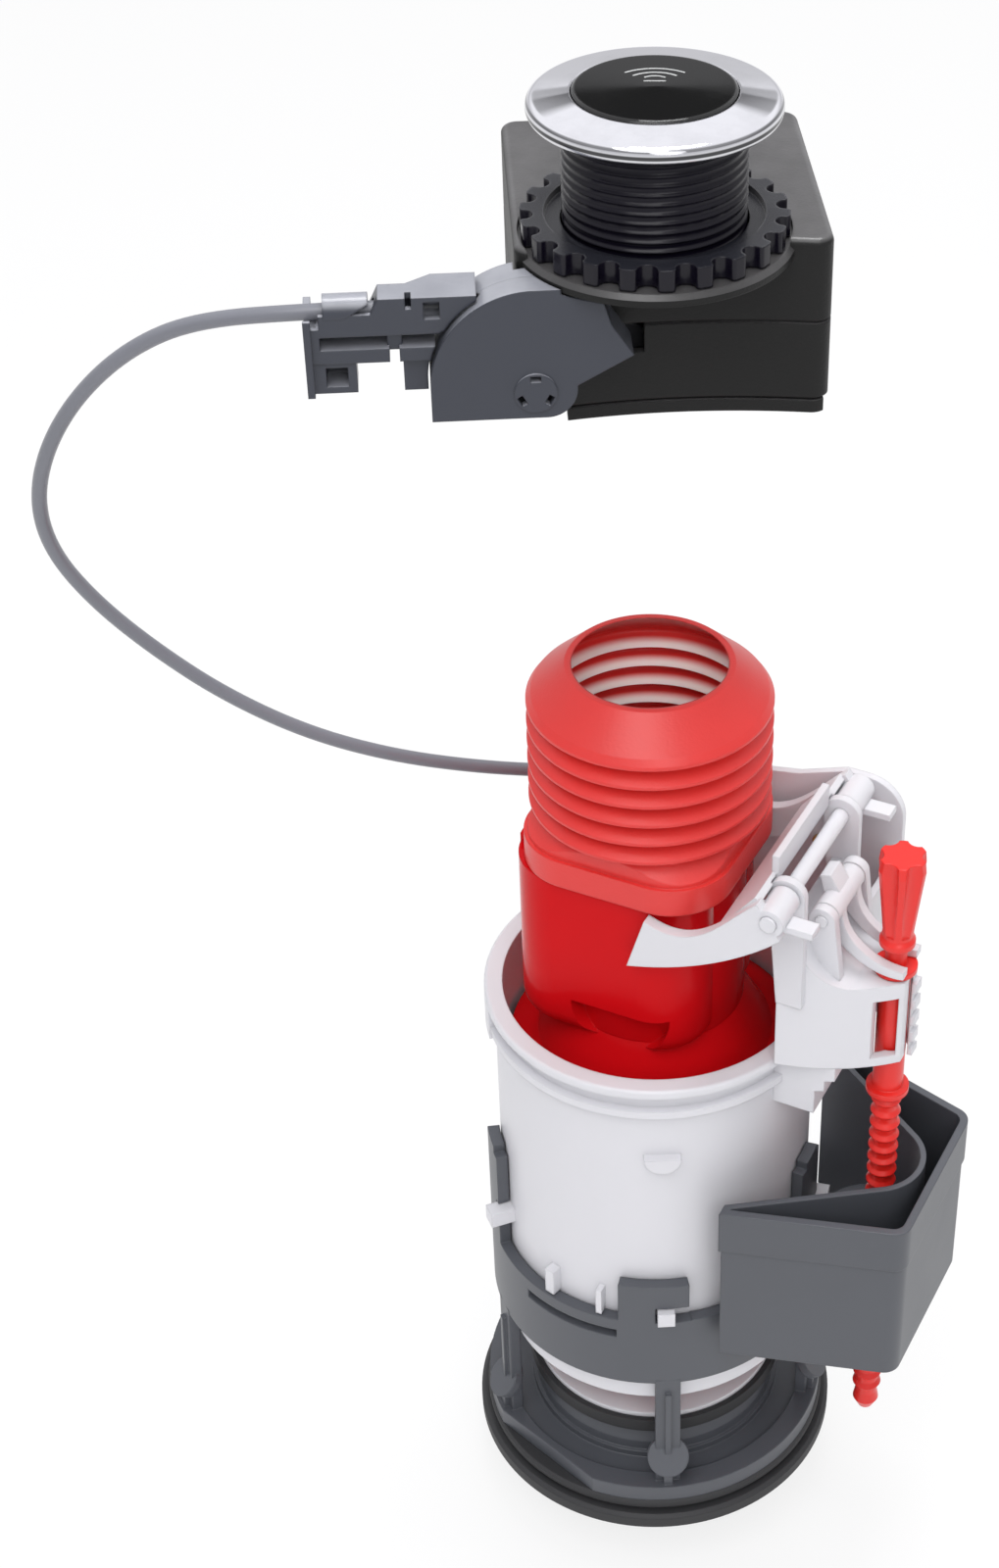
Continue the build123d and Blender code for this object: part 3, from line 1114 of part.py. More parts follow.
def holder_rail(near, far):
    """Grooved rail with a notch, its end plate and the socket under it."""
    right = HOUSING_LEFT + 2.6
    low = CABLE_Z - 10.3
    rail = block((HOLDER_LEFT, near, low), (right, far, CABLE_Z - 2.6))
    rail -= block((HOLDER_LEFT + 1.6, near - 1, low + 3), (right + 1, far - 2, CABLE_Z - 4.4))
    rail -= block((HOLDER_LEFT + 15.4, near - 1, low - 1), (HOLDER_LEFT + 17.4, far - 1, low + 3.5))
    rail -= block((HOLDER_LEFT + 14.6, near - 1, low + 3), (HOLDER_LEFT + 18.2, near + 1.5, low + 5))
    rail += block((HOLDER_LEFT + 15, near + 1.5, low + 2), (HOLDER_LEFT + 18, far - 1, low + 6))
    lip = block((HOLDER_LEFT + 1.6, near, CABLE_Z - 3), (HOLDER_LEFT + 12, near + 1.2, CABLE_Z + 0.3))
    end = block((HOLDER_LEFT - 1.5, near - 1, CABLE_Z - 17.4), (HOLDER_LEFT, far, CABLE_Z - 0.4))
    socket = block((HOLDER_LEFT, near + 0.6, CABLE_Z - 17.2), (HOLDER_LEFT + 8.6, far - 2, low + 0.5))
    socket -= block((HOLDER_LEFT + 2.4, near - 1, CABLE_Z - 15.8), (HOLDER_LEFT + 6.8, far - 3.6, low - 1.2))
    stub = block((HOLDER_LEFT + 18, near + 2, CABLE_Z - 17.9), (right, far, low + 0.5))
    return rail + lip + end + socket + stub


def holder_hook():
    """Spring hook that curls over the cable from behind."""
    left = HOLDER_LEFT + 2.6
    right = HOLDER_LEFT + 11.6
    inner = CABLE_RADIUS + CABLE_FIT
    outer = inner + 1.3
    curl = Circle(outer) - Circle(inner)
    curl &= Pos(-outer, -0.4) * Rectangle(4 * outer, 4 * outer, align=(Align.MIN, Align.MIN))
    strip = extrude(Plane.YZ.offset(left) * Pos(PULLEY_Y, CABLE_Z) * curl, amount=right - left)
    trim = Polyline(
        (left + 3, CABLE_Z - 1), (right + 1, CABLE_Z + outer - 0.6), (right + 1, CABLE_Z - 1), close=True)
    strip -= plate(trim, PULLEY_Y - 2 * outer, PULLEY_Y)
    back = block((left, PULLEY_Y + inner, CABLE_Z - 3), (right, PULLEY_Y + outer, CABLE_Z))
    return strip + back


def cable_holder():
    """Arm beside the housing: cable block, grooved rail, socket and hook."""
    near = FACE_Y + 2
    far = REAR_Y - 1.2
    body = holder_rail(near, far) + holder_block(near, far) + holder_hook()
    body -= rod_x(PULLEY_Y, CABLE_Z, 2 * CABLE_RADIUS, HOLDER_LEFT - 2, HOLDER_LEFT + 1)
    body -= plate(housing_outline(-HOUSING_BACK_GAP), FACE_Y - 1, REAR_Y + 1)
    return body - cable_way(CABLE_RADIUS + CABLE_FIT)


# Cable route from the holder, out to the side and round behind the valve to its head.
# The first point is inside the holder and the last is in the anchor.
CABLE_START = UNIT * Pos(HOLDER_LEFT + CABLE_INSET, PULLEY_Y, CABLE_Z)
CABLE_LEAVE = UNIT * Pos(HOLDER_LEFT - 0.5, PULLEY_Y, CABLE_Z)
CABLE_POINTS = [
    (-77.6, -53.3, 343.6), (-92.0, -56.5, 335.8), (-104.8, -58.6, 323.6), (-115.0, -59.3, 308.7),
    (-121.6, -57.9, 292.5), (-123.0, -53.9, 276.7), (-118.8, -47.1, 260.8), (-110.9, -38.4, 244.7),
    (-99.8, -28.0, 228.0), (-85.7, -16.0, 213.2), (-70.5, -3.0, 202.3), (-55.0, 10.5, 194.5),
    (-39.5, 23.0, 189.5), (-24.0, 32.0, 188.2), (-7.0, 36.4, 190.0),
]
ANCHOR_DEPTH = 6.0


def cable_route():
    ends = [tuple(CABLE_START.position), tuple(CABLE_LEAVE.position)]
    return ends + CABLE_POINTS + [(ANCHOR_X + ANCHOR_DEPTH, ANCHOR_Y, ANCHOR_Z)]


def bend_radii(points):
    """Largest tangent arcs that the runs on each side of a corner allow."""
    radii = []
    for before, corner, after in zip(points, points[1:], points[2:]):
        first = Vector(*corner) - Vector(*before)
        second = Vector(*after) - Vector(*corner)
        turn = math.radians(first.get_angle(second))
        radii.append(0.45 * min(first.length, second.length) / math.tan(turn / 2))
    return radii


def cable_sheath():
    points = cable_route()
    radii = bend_radii(points)
    print("cable radii", [round(radius) for radius in radii])
    path = FilletPolyline(*points, radius=radii)
    start = Plane(origin=path @ 0, z_dir=path % 0)
    body = sweep(start * Circle(CABLE_RADIUS), path=path)
    filled = body.volume / (math.pi * CABLE_RADIUS ** 2 * path.length)
    print("cable length", round(path.length, 1), "volume ratio", round(filled, 4))
    return body


def cable_anchor():
    """Clip on the back of the shield that holds the cable's end."""
    half = 3 * CABLE_RADIUS
    far = (ANCHOR_X + ANCHOR_LENGTH, ANCHOR_Y + 2 * CABLE_RADIUS, ANCHOR_Z + half)
    clip = block((ANCHOR_X, SHIELD_OUT, ANCHOR_Z - half), far)
    clip = fillet(clip.faces().sort_by(Axis.Y)[-1].edges(), 1)
    return clip - rod_x(ANCHOR_Y, ANCHOR_Z, CABLE_RADIUS + SEAL_FIT, ANCHOR_X - 1, ANCHOR_X + ANCHOR_DEPTH)


VALVE_PIECES = {
    "outlet_seal": outlet_seal, "base_body": base_body, "valve_cylinder": valve_cylinder,
    "valve_tube": valve_tube, "flush_seal": flush_seal, "seal_clamp": seal_clamp,
    "overflow_bellows": overflow_bellows, "head_frame": head_frame, "fork_pin": fork_pin,
    "latch_pin": latch_pin, "fork_lever": fork_lever, "fork_nipple": fork_nipple, "latch_arm": latch_arm,
    "float_screw": float_screw, "float_cup": float_cup, "cable_anchor": cable_anchor,
    "cable_sheath": cable_sheath,
}
UNIT_PIECES = {
    "sensor_lens": sensor_lens, "bezel_ring": bezel_ring, "threaded_shank": threaded_shank,
    "sensor_module": sensor_module, "lock_nut": lock_nut, "upper_case": upper_case, "lower_case": lower_case,
    "battery_cover": battery_cover, "cover_screws": cover_screws, "battery_cells": battery_cells,
    "circuit_board": circuit_board, "gear_motor": gear_motor, "pulley_housing": pulley_housing,
    "pulley_cover": pulley_cover, "cable_quadrant": cable_quadrant, "quadrant_nipple": quadrant_nipple,
    "cable_holder": cable_holder,
}


def solids_of(shape):
    """All solids of a piece or a group of like pieces."""
    shapes = shape if isinstance(shape, list) else [shape]
    return [solid for item in shapes for solid in item.solids()]


for name, maker in VALVE_PIECES.items():
    export_step(Compound(children=solids_of(maker())), f"parts/{name}.step")
for name, maker in UNIT_PIECES.items():
    placed = [UNIT * solid for solid in solids_of(maker())]
    export_step(Compound(children=placed), f"parts/{name}.step")
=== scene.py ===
"""Dresses the touch-free flush set: finishes, threads, cable, sensor sign and studio."""

import json
import math

import bmesh
import bpy
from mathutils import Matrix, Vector


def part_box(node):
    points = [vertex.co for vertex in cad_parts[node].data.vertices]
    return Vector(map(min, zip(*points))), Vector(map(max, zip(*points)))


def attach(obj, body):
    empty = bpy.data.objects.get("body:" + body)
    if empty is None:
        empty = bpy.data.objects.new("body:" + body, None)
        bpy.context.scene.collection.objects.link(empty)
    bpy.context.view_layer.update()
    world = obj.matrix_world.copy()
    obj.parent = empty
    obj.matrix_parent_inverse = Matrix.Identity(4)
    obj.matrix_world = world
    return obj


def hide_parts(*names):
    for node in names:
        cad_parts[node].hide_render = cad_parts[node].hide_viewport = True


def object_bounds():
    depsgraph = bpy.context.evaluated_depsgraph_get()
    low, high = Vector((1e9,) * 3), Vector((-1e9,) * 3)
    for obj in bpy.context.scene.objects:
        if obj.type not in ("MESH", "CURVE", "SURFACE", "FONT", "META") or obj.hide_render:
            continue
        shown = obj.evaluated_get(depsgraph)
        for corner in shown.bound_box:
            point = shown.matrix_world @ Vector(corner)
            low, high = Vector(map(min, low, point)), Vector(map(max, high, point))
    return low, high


bl_info = {
    "name": "Touch-free flush set",
    "version": (1, 0, 0),
    "blender": (4, 5, 0),
    "location": "View3D > Sidebar > Flush Set",
    "description": "Finishes and fine pieces of a touch-free flush set",
    "category": "Object",
}

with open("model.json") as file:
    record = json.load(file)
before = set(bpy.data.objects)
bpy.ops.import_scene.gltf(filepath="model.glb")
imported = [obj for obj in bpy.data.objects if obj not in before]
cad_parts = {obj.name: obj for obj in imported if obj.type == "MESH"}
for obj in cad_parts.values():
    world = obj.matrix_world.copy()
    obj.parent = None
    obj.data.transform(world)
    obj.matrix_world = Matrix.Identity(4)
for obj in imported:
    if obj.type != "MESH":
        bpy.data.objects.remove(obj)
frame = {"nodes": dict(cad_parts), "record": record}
CAD_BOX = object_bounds()
HOUSING = "housing"


class FlushColours(bpy.types.PropertyGroup):
    """Colours of the mouldings and finishes."""

    red_bellows: bpy.props.FloatVectorProperty(
        name="Bellows red", description="Matte red of the overflow bellows",
        default=(0.70, 0.032, 0.028), subtype="COLOR", min=0, max=1)
    # Painted highlight: pale colour painted inside the folds of the bellows, for the light that gathers
    # there
    fold_painted_light: bpy.props.FloatVectorProperty(
        name="Fold bloom", description="Pale bloom inside the folds of the bellows",
        default=(1.0, 0.87, 0.83), subtype="COLOR", min=0, max=1)
    red_tube: bpy.props.FloatVectorProperty(
        name="Tube red", description="Deep gloss red of the valve tube",
        default=(0.58, 0.004, 0.007), subtype="COLOR", min=0, max=1)
    red_screw: bpy.props.FloatVectorProperty(
        name="Screw red", description="Bright red of the float screw",
        default=(0.76, 0.018, 0.012), subtype="COLOR", min=0, max=1)
    white: bpy.props.FloatVectorProperty(
        name="White", description="Cool white of the cylinder and head",
        default=(0.68, 0.676, 0.705), subtype="COLOR", min=0, max=1)
    slate: bpy.props.FloatVectorProperty(
        name="Slate", description="Grey of the base and the float cup",
        default=(0.08, 0.085, 0.098), subtype="COLOR", min=0, max=1)
    pulley_grey: bpy.props.FloatVectorProperty(
        name="Pulley grey", description="Grey of the pulley housing and cable holder",
        default=(0.042, 0.046, 0.06), subtype="COLOR", min=0, max=1)
    # Painted light: the paler colours below are painted on the faces that look up, for the light that
    # falls on the tops
    pulley_lit_top: bpy.props.FloatVectorProperty(
        name="Pulley rubbed", description="Paler grey on the tops of the pulley and the holder",
        default=(0.44, 0.45, 0.5), subtype="COLOR", min=0, max=1)
    case_lit_top: bpy.props.FloatVectorProperty(
        name="Case rubbed", description="Paler black on the top of the battery case",
        default=(0.095, 0.092, 0.094), subtype="COLOR", min=0, max=1)
    nut_lit_top: bpy.props.FloatVectorProperty(
        name="Nut rubbed", description="Paler black on the top of the nut",
        default=(0.03, 0.032, 0.04), subtype="COLOR", min=0, max=1)
    case_black: bpy.props.FloatVectorProperty(
        name="Case black", description="Black of the battery case",
        default=(0.013, 0.013, 0.0128), subtype="COLOR", min=0, max=1)
    stem_black: bpy.props.FloatVectorProperty(
        name="Stem black", description="Blue black of the stem and its nut",
        default=(0.005, 0.004, 0.009), subtype="COLOR", min=0, max=1)
    rubber: bpy.props.FloatVectorProperty(
        name="Rubber", description="Black rubber of the seals",
        default=(0.022, 0.022, 0.024), subtype="COLOR", min=0, max=1)
    cable: bpy.props.FloatVectorProperty(
        name="Cable", description="Grey jacket of the cable",
        default=(0.17, 0.175, 0.2), subtype="COLOR", min=0, max=1)


class FlushSizes(bpy.types.PropertyGroup):
    """Sizes of the fine pieces."""

    stem_pitch: bpy.props.FloatProperty(
        name="Stem pitch", description="Thread pitch of the stem",
        default=0.002, unit="LENGTH", min=0.001)
    stem_depth: bpy.props.FloatProperty(
        name="Stem thread depth", description="Depth of the stem's rounded thread",
        default=0.0006, unit="LENGTH", min=0.0001)
    tail_pitch: bpy.props.FloatProperty(
        name="Tail pitch", description="Thread pitch of the outlet tail",
        default=0.0031, unit="LENGTH", min=0.001)
    tail_depth: bpy.props.FloatProperty(
        name="Tail thread depth", description="Depth of the tail's rounded thread",
        default=0.0011, unit="LENGTH", min=0.0001)
    sign_stroke: bpy.props.FloatProperty(
        name="Sign stroke", description="Line width of the printed wave sign",
        default=0.0004, unit="LENGTH", min=0.0001)
    edge_round: bpy.props.FloatProperty(
        name="Edge round", description="Radius that moulded edges catch the light with",
        default=0.0006, unit="LENGTH", min=0)
    cable_diameter: bpy.props.FloatProperty(
        name="Cable diameter", description="Outside diameter of the cable's jacket",
        default=0.0034, unit="LENGTH", min=0.001)


class FlushStudio(bpy.types.PropertyGroup):
    """Camera and light of the studio."""

    camera_azimuth: bpy.props.FloatProperty(
        name="Camera azimuth", description="Turn of the camera about the valve's axis",
        default=math.radians(25), subtype="ANGLE")
    camera_pitch: bpy.props.FloatProperty(
        name="Camera pitch", description="How far the camera looks down",
        default=math.radians(37.27), subtype="ANGLE")
    camera_reach: bpy.props.FloatProperty(
        name="Camera reach", description="Level distance from the valve's axis",
        default=0.512, unit="LENGTH")
    camera_height: bpy.props.FloatProperty(
        name="Camera height", description="Height above the outlet seal",
        default=0.6035, unit="LENGTH")
    lens: bpy.props.FloatProperty(
        name="Lens", description="Focal length for a 36 mm long side", default=62.73, min=10)
    shift: bpy.props.FloatProperty(
        name="Shift", description="Sideways shift of the framing", default=-0.099)
    world_level: bpy.props.FloatProperty(
        name="World level", description="Strength of the even studio light", default=0.74, min=0)
    key_power: bpy.props.FloatProperty(
        name="Key power", description="Power of the lamp in front, high up", default=8.0, min=0)
    fill_power: bpy.props.FloatProperty(
        name="Fill power", description="Power of the lamp on the right", default=3.0, min=0)
    top_power: bpy.props.FloatProperty(
        name="Top power", description="Power of the lamp above and behind", default=10.0, min=0)


# Shader building

# Blue over red and green in the greys of the room and the plating
COOL_TINT = 1.03
# Samples taken round an edge that catches the light
EDGE_SAMPLES = 6
# How far the gloss of a moulding drifts, as a share of its roughness
GLOSS_DRIFT = 0.25
# Hairlines of a polished face: depth, strength, fineness along and across, and lie
HAIRLINE_DEPTH = 0.00001
HAIRLINE_STRENGTH = 0.06
HAIRLINE_SCALE = (260, 3200, 3200)
HAIRLINE_TURN = (0.3, 0.2, 0.7)
# Painted reflection lines on the plating up the rolled rim: level from its foot to its top, tone
RIM_BANDS = ((0.0, 0.7), (0.32, 0.8), (0.38, 0.08), (0.54, 0.1), (0.6, 0.8), (0.7, 0.95),
             (0.75, 0.28), (0.84, 0.32), (0.9, 1.0), (1.0, 1.0))


def new_group(name, inputs, outputs):
    """A shader node group with named sockets."""
    group = bpy.data.node_groups.new(name, "ShaderNodeTree")
    for label, kind, value in inputs:
        socket = group.interface.new_socket(label, in_out="INPUT", socket_type=kind)
        socket.default_value = value
    for label, kind in outputs:
        group.interface.new_socket(label, in_out="OUTPUT", socket_type=kind)
    return group, group.nodes.new("NodeGroupInput"), group.nodes.new("NodeGroupOutput")


def node(tree, kind, **settings):
    """A node with its settings; a setting named after an input fills that input."""
    made = tree.nodes.new(kind)
    for key, value in settings.items():
        if hasattr(made, key):
            setattr(made, key, value)
        else:
            made.inputs[key.replace("_", " ")].default_value = value
    return made


def add_ramp(tree, level, bands):
    """The grey, a little cool, that a list of levels and tones gives to a level."""
    ramp = node(tree, "ShaderNodeValToRGB")
    tree.links.new(level, ramp.inputs["Fac"])
    stops = ramp.color_ramp.elements
    while len(stops) < len(bands):
        stops.new(0.5)
    for stop, (position, tone) in zip(stops, bands):
        stop.position = position
        stop.color = (tone, tone, COOL_TINT * tone, 1)
    return ramp.outputs["Color"]


def mix_colours(tree, under, over, share):
    """One colour with a share of another in it."""
    change = node(tree, "ShaderNodeVectorMath", operation="SUBTRACT")
    tree.links.new(over, change.inputs[0])
    tree.links.new(under, change.inputs[1])
    part = node(tree, "ShaderNodeVectorMath", operation="SCALE")
    tree.links.new(change.outputs[0], part.inputs[0])
    tree.links.new(share, part.inputs["Scale"])
    total = node(tree, "ShaderNodeVectorMath", operation="ADD")
    tree.links.new(under, total.inputs[0])
    tree.links.new(part.outputs[0], total.inputs[1])
    return total.outputs[0]


def multiply(tree, first, second):
    """The product of two masks."""
    product = node(tree, "ShaderNodeMath", operation="MULTIPLY")
    tree.links.new(first, product.inputs[0])
    tree.links.new(second, product.inputs[1])
    return product.outputs[0]


def moulded_skin_group():
    """Slow tone and gloss drift of a moulding, with a fine grain height."""
    group, given, out = new_group("Moulded Skin", [
        ("Colour", "NodeSocketColor", (0.5, 0.5, 0.5, 1)),
        ("Tone Drift", "NodeSocketFloat", 0.05),
        ("Roughness", "NodeSocketFloat", 0.4),
        ("Gloss Drift", "NodeSocketFloat", 0.08),
        ("Grain Scale", "NodeSocketFloat", 4000.0),
    ], [
        ("Colour", "NodeSocketColor"),
        ("Roughness", "NodeSocketFloat"),
        ("Grain", "NodeSocketFloat"),
    ])
    link = group.links.new
    place = node(group, "ShaderNodeTexCoord")
    slow = node(group, "ShaderNodeTexNoise", Scale=38.0, Detail=3.0, Roughness=0.55)
    link(place.outputs["Object"], slow.inputs["Vector"])
    fine = node(group, "ShaderNodeTexNoise", Detail=2.0, Roughness=0.6)
    link(place.outputs["Object"], fine.inputs["Vector"])
    link(given.outputs["Grain Scale"], fine.inputs["Scale"])
    centred = node(group, "ShaderNodeMath", operation="SUBTRACT")
    link(slow.outputs["Fac"], centred.inputs[0])
    centred.inputs[1].default_value = 0.5
    tone = node(group, "ShaderNodeMath", operation="MULTIPLY_ADD")
    link(centred.outputs[0], tone.inputs[0])
    link(given.outputs["Tone Drift"], tone.inputs[1])
    tone.inputs[2].default_value = 1.0
    shade = node(group, "ShaderNodeVectorMath", operation="SCALE")
    link(given.outputs["Colour"], shade.inputs[0])
    link(tone.outputs[0], shade.inputs["Scale"])
    gloss = node(group, "ShaderNodeMath", operation="MULTIPLY_ADD", use_clamp=True)
    link(centred.outputs[0], gloss.inputs[0])
    link(given.outputs["Gloss Drift"], gloss.inputs[1])
    link(given.outputs["Roughness"], gloss.inputs[2])
    link(shade.outputs[0], out.inputs["Colour"])
    link(gloss.outputs[0], out.inputs["Roughness"])
    link(fine.outputs["Fac"], out.inputs["Grain"])
    return group


def handling_group():
    """Faint smudges and hairlines that a polished face picks up."""
    group, given, out = new_group("Handling Marks", [
        ("Colour", "NodeSocketColor", (0.5, 0.5, 0.5, 1)),
        ("Roughness", "NodeSocketFloat", 0.1),
        ("Amount", "NodeSocketFloat", 0.1),
    ], [
        ("Colour", "NodeSocketColor"),
        ("Roughness", "NodeSocketFloat"),
        ("Hairlines", "NodeSocketFloat"),
    ])
    link = group.links.new
    place = node(group, "ShaderNodeTexCoord")
    smudge = node(group, "ShaderNodeTexNoise", Scale=90.0, Detail=4.0, Roughness=0.65)
    link(place.outputs["Object"], smudge.inputs["Vector"])
    spread = node(group, "ShaderNodeMapRange", From_Min=0.45, From_Max=0.75)
    link(smudge.outputs["Fac"], spread.inputs["Value"])
    stretch = node(group, "ShaderNodeMapping", vector_type="POINT")
    stretch.inputs["Scale"].default_value = HAIRLINE_SCALE
    stretch.inputs["Rotation"].default_value = HAIRLINE_TURN
    link(place.outputs["Object"], stretch.inputs["Vector"])
    lines = node(group, "ShaderNodeTexNoise", Scale=1.0, Detail=1.0)
    link(stretch.outputs["Vector"], lines.inputs["Vector"])
    rough = node(group, "ShaderNodeMath", operation="MULTIPLY_ADD", use_clamp=True)
    link(spread.outputs["Result"], rough.inputs[0])
    link(given.outputs["Amount"], rough.inputs[1])
    link(given.outputs["Roughness"], rough.inputs[2])
    dull = node(group, "ShaderNodeMapRange", To_Min=1.0, To_Max=0.9)
    link(spread.outputs["Result"], dull.inputs["Value"])
    shade = node(group, "ShaderNodeVectorMath", operation="SCALE")
    link(given.outputs["Colour"], shade.inputs[0])
    link(dull.outputs["Result"], shade.inputs["Scale"])
    link(shade.outputs[0], out.inputs["Colour"])
    link(rough.outputs[0], out.inputs["Roughness"])
    link(lines.outputs["Fac"], out.inputs["Hairlines"])
    return group


def fold_painted_light_group():
    """Painted highlight inside a round hollow, on faces that look up and stand out from the pockets.

    It is a pale colour that stands for the light that gathers in the folds.
    """
    group, given, out = new_group("Fold Bloom", [
        ("Colour", "NodeSocketColor", (0.5, 0.5, 0.5, 1)),
        ("Bloom Colour", "NodeSocketColor", (0.9, 0.6, 0.6, 1)),
        ("Axis", "NodeSocketVector", (0, 0, 0)),
        ("Crest Radius", "NodeSocketFloat", 0.02),
        ("Pocket Radius", "NodeSocketFloat", 0.03),
    ], [("Colour", "NodeSocketColor")])
    link = group.links.new
    place = node(group, "ShaderNodeTexCoord")
    centred = node(group, "ShaderNodeVectorMath", operation="SUBTRACT")
    link(place.outputs["Object"], centred.inputs[0])
    link(given.outputs["Axis"], centred.inputs[1])
    level = node(group, "ShaderNodeVectorMath", operation="MULTIPLY")
    link(centred.outputs[0], level.inputs[0])
    level.inputs[1].default_value = (1, 1, 0)
    reach = node(group, "ShaderNodeVectorMath", operation="LENGTH")
    link(level.outputs[0], reach.inputs[0])
    crest = node(group, "ShaderNodeMapRange", interpolation_type="SMOOTHSTEP")
    link(reach.outputs["Value"], crest.inputs["Value"])
    link(given.outputs["Pocket Radius"], crest.inputs["From Min"])
    link(given.outputs["Crest Radius"], crest.inputs["From Max"])
    outward = node(group, "ShaderNodeVectorMath", operation="NORMALIZE")
    link(level.outputs[0], outward.inputs[0])
    facing = node(group, "ShaderNodeVectorMath", operation="DOT_PRODUCT")
    link(outward.outputs[0], facing.inputs[0])
    link(place.outputs["Normal"], facing.inputs[1])
    inside = node(group, "ShaderNodeMapRange", From_Min=-0.05, From_Max=-0.3)
    link(facing.outputs["Value"], inside.inputs["Value"])
    split = node(group, "ShaderNodeSeparateXYZ")
    link(place.outputs["Normal"], split.inputs[0])
    upward = node(group, "ShaderNodeMapRange", From_Min=-0.2, From_Max=0.5)
    link(split.outputs["Z"], upward.inputs["Value"])
    mask = multiply(group, inside.outputs["Result"], upward.outputs["Result"])
    painted_share = multiply(group, mask, crest.outputs["Result"])
    painted_folds = mix_colours(group, given.outputs["Colour"], given.outputs["Bloom Colour"], painted_share)
    link(painted_folds, out.inputs["Colour"])
    return group


def top_painted_light_group():
    """Faces that look up are paler and glossier, unevenly.

    The paler colour is painted light: it stands for the way the tops catch the light.
    """
    group, given, out = new_group("Top Rub", [
        ("Colour", "NodeSocketColor", (0.1, 0.1, 0.1, 1)),
        ("Rubbed Colour", "NodeSocketColor", (0.2, 0.2, 0.2, 1)),
        ("Amount", "NodeSocketFloat", 0.5),
    ], [("Colour", "NodeSocketColor"), ("Gloss", "NodeSocketFloat")])
    link = group.links.new
    place = node(group, "ShaderNodeTexCoord")
    split = node(group, "ShaderNodeSeparateXYZ")
    link(place.outputs["Normal"], split.inputs[0])
    upward = node(group, "ShaderNodeMapRange", From_Min=0.45, From_Max=0.9)
    link(split.outputs["Z"], upward.inputs["Value"])
    patch = node(group, "ShaderNodeTexNoise", Scale=70.0, Detail=4.0, Roughness=0.6)
    link(place.outputs["Object"], patch.inputs["Vector"])
    uneven = node(group, "ShaderNodeMapRange", From_Min=0.3, From_Max=0.7, To_Min=0.7)
    link(patch.outputs["Fac"], uneven.inputs["Value"])
    lit_top_mask = multiply(group, upward.outputs["Result"], uneven.outputs["Result"])
    share = multiply(group, lit_top_mask, given.outputs["Amount"])
    lit_top_colour = mix_colours(group, given.outputs["Colour"], given.outputs["Rubbed Colour"], share)
    link(lit_top_colour, out.inputs["Colour"])
    link(lit_top_mask, out.inputs["Gloss"])
    return group


def rim_bands_group():
    """Dark and bright lines round a rolled rim, by height.

    They are painted, and stand for what the polish would mirror.
    """
    group, given, out = new_group("Rim Bands", [
        ("Colour", "NodeSocketColor", (0.8, 0.8, 0.8, 1)),
        ("Foot", "NodeSocketFloat", 0.0),
        ("Top", "NodeSocketFloat", 0.004),
    ], [("Colour", "NodeSocketColor")])
    link = group.links.new
    place = node(group, "ShaderNodeTexCoord")
    split = node(group, "ShaderNodeSeparateXYZ")
    link(place.outputs["Object"], split.inputs[0])
    level = node(group, "ShaderNodeMapRange")
    link(split.outputs["Z"], level.inputs["Value"])
    link(given.outputs["Foot"], level.inputs["From Min"])
    link(given.outputs["Top"], level.inputs["From Max"])
    bands = add_ramp(group, level.outputs["Result"], RIM_BANDS)
    tinted = node(group, "ShaderNodeVectorMath", operation="MULTIPLY")
    link(given.outputs["Colour"], tinted.inputs[0])
    link(bands, tinted.inputs[1])
    link(tinted.outputs[0], out.inputs["Colour"])
    return group


GROUPS = {
    "skin": moulded_skin_group(),
    "handling": handling_group(),
    "fold_light": fold_painted_light_group(),
    "lit_tops": top_painted_light_group(),
    "rim": rim_bands_group(),
}


def start_material(name):
    """A new material with its node tree and shader."""
    material = bpy.data.materials.new(name)
    material.use_nodes = True
    tree = material.node_tree
    return material, tree, tree.nodes["Principled BSDF"]


def add_bump(tree, shader, height, distance, strength):
    """Raises a height on the shader's normal, over softly rounded edges."""
    bump = node(tree, "ShaderNodeBump", Strength=strength, Distance=distance)
    tree.links.new(height, bump.inputs["Height"])
    edge = node(tree, "ShaderNodeBevel", samples=EDGE_SAMPLES,
                Radius=bpy.context.scene.flush_sizes.edge_round)
    tree.links.new(edge.outputs["Normal"], bump.inputs["Normal"])
    tree.links.new(bump.outputs["Normal"], shader.inputs["Normal"])


def set_sockets(shader, sockets):
    """Sets plain values on a shader."""
    for label, value in sockets.items():
        shader.inputs[label.replace("_", " ")].default_value = value


def moulding(name, colour, roughness, grain_scale, grain_depth, drift=0.06, grain_strength=0.35,
             **sockets):
    """A moulded plastic or rubber finish."""
    material, tree, shader = start_material(name)
    skin = node(tree, "ShaderNodeGroup", node_tree=GROUPS["skin"], Colour=(*colour, 1),
                Tone_Drift=drift, Roughness=roughness, Gloss_Drift=GLOSS_DRIFT * roughness,
                Grain_Scale=grain_scale)
    tree.links.new(skin.outputs["Colour"], shader.inputs["Base Color"])
    tree.links.new(skin.outputs["Roughness"], shader.inputs["Roughness"])
    add_bump(tree, shader, skin.outputs["Grain"], grain_depth, grain_strength)
    set_sockets(shader, sockets)
    return material


def polished(name, colour, roughness, marks, **sockets):
    """A polished or plated finish with faint handling marks."""
    material, tree, shader = start_material(name)
    wear = node(tree, "ShaderNodeGroup", node_tree=GROUPS["handling"], Colour=(*colour, 1),
                Roughness=roughness, Amount=marks)
    tree.links.new(wear.outputs["Colour"], shader.inputs["Base Color"])
    tree.links.new(wear.outputs["Roughness"], shader.inputs["Roughness"])
    add_bump(tree, shader, wear.outputs["Hairlines"], HAIRLINE_DEPTH, HAIRLINE_STRENGTH)
    set_sockets(shader, sockets)
    return material


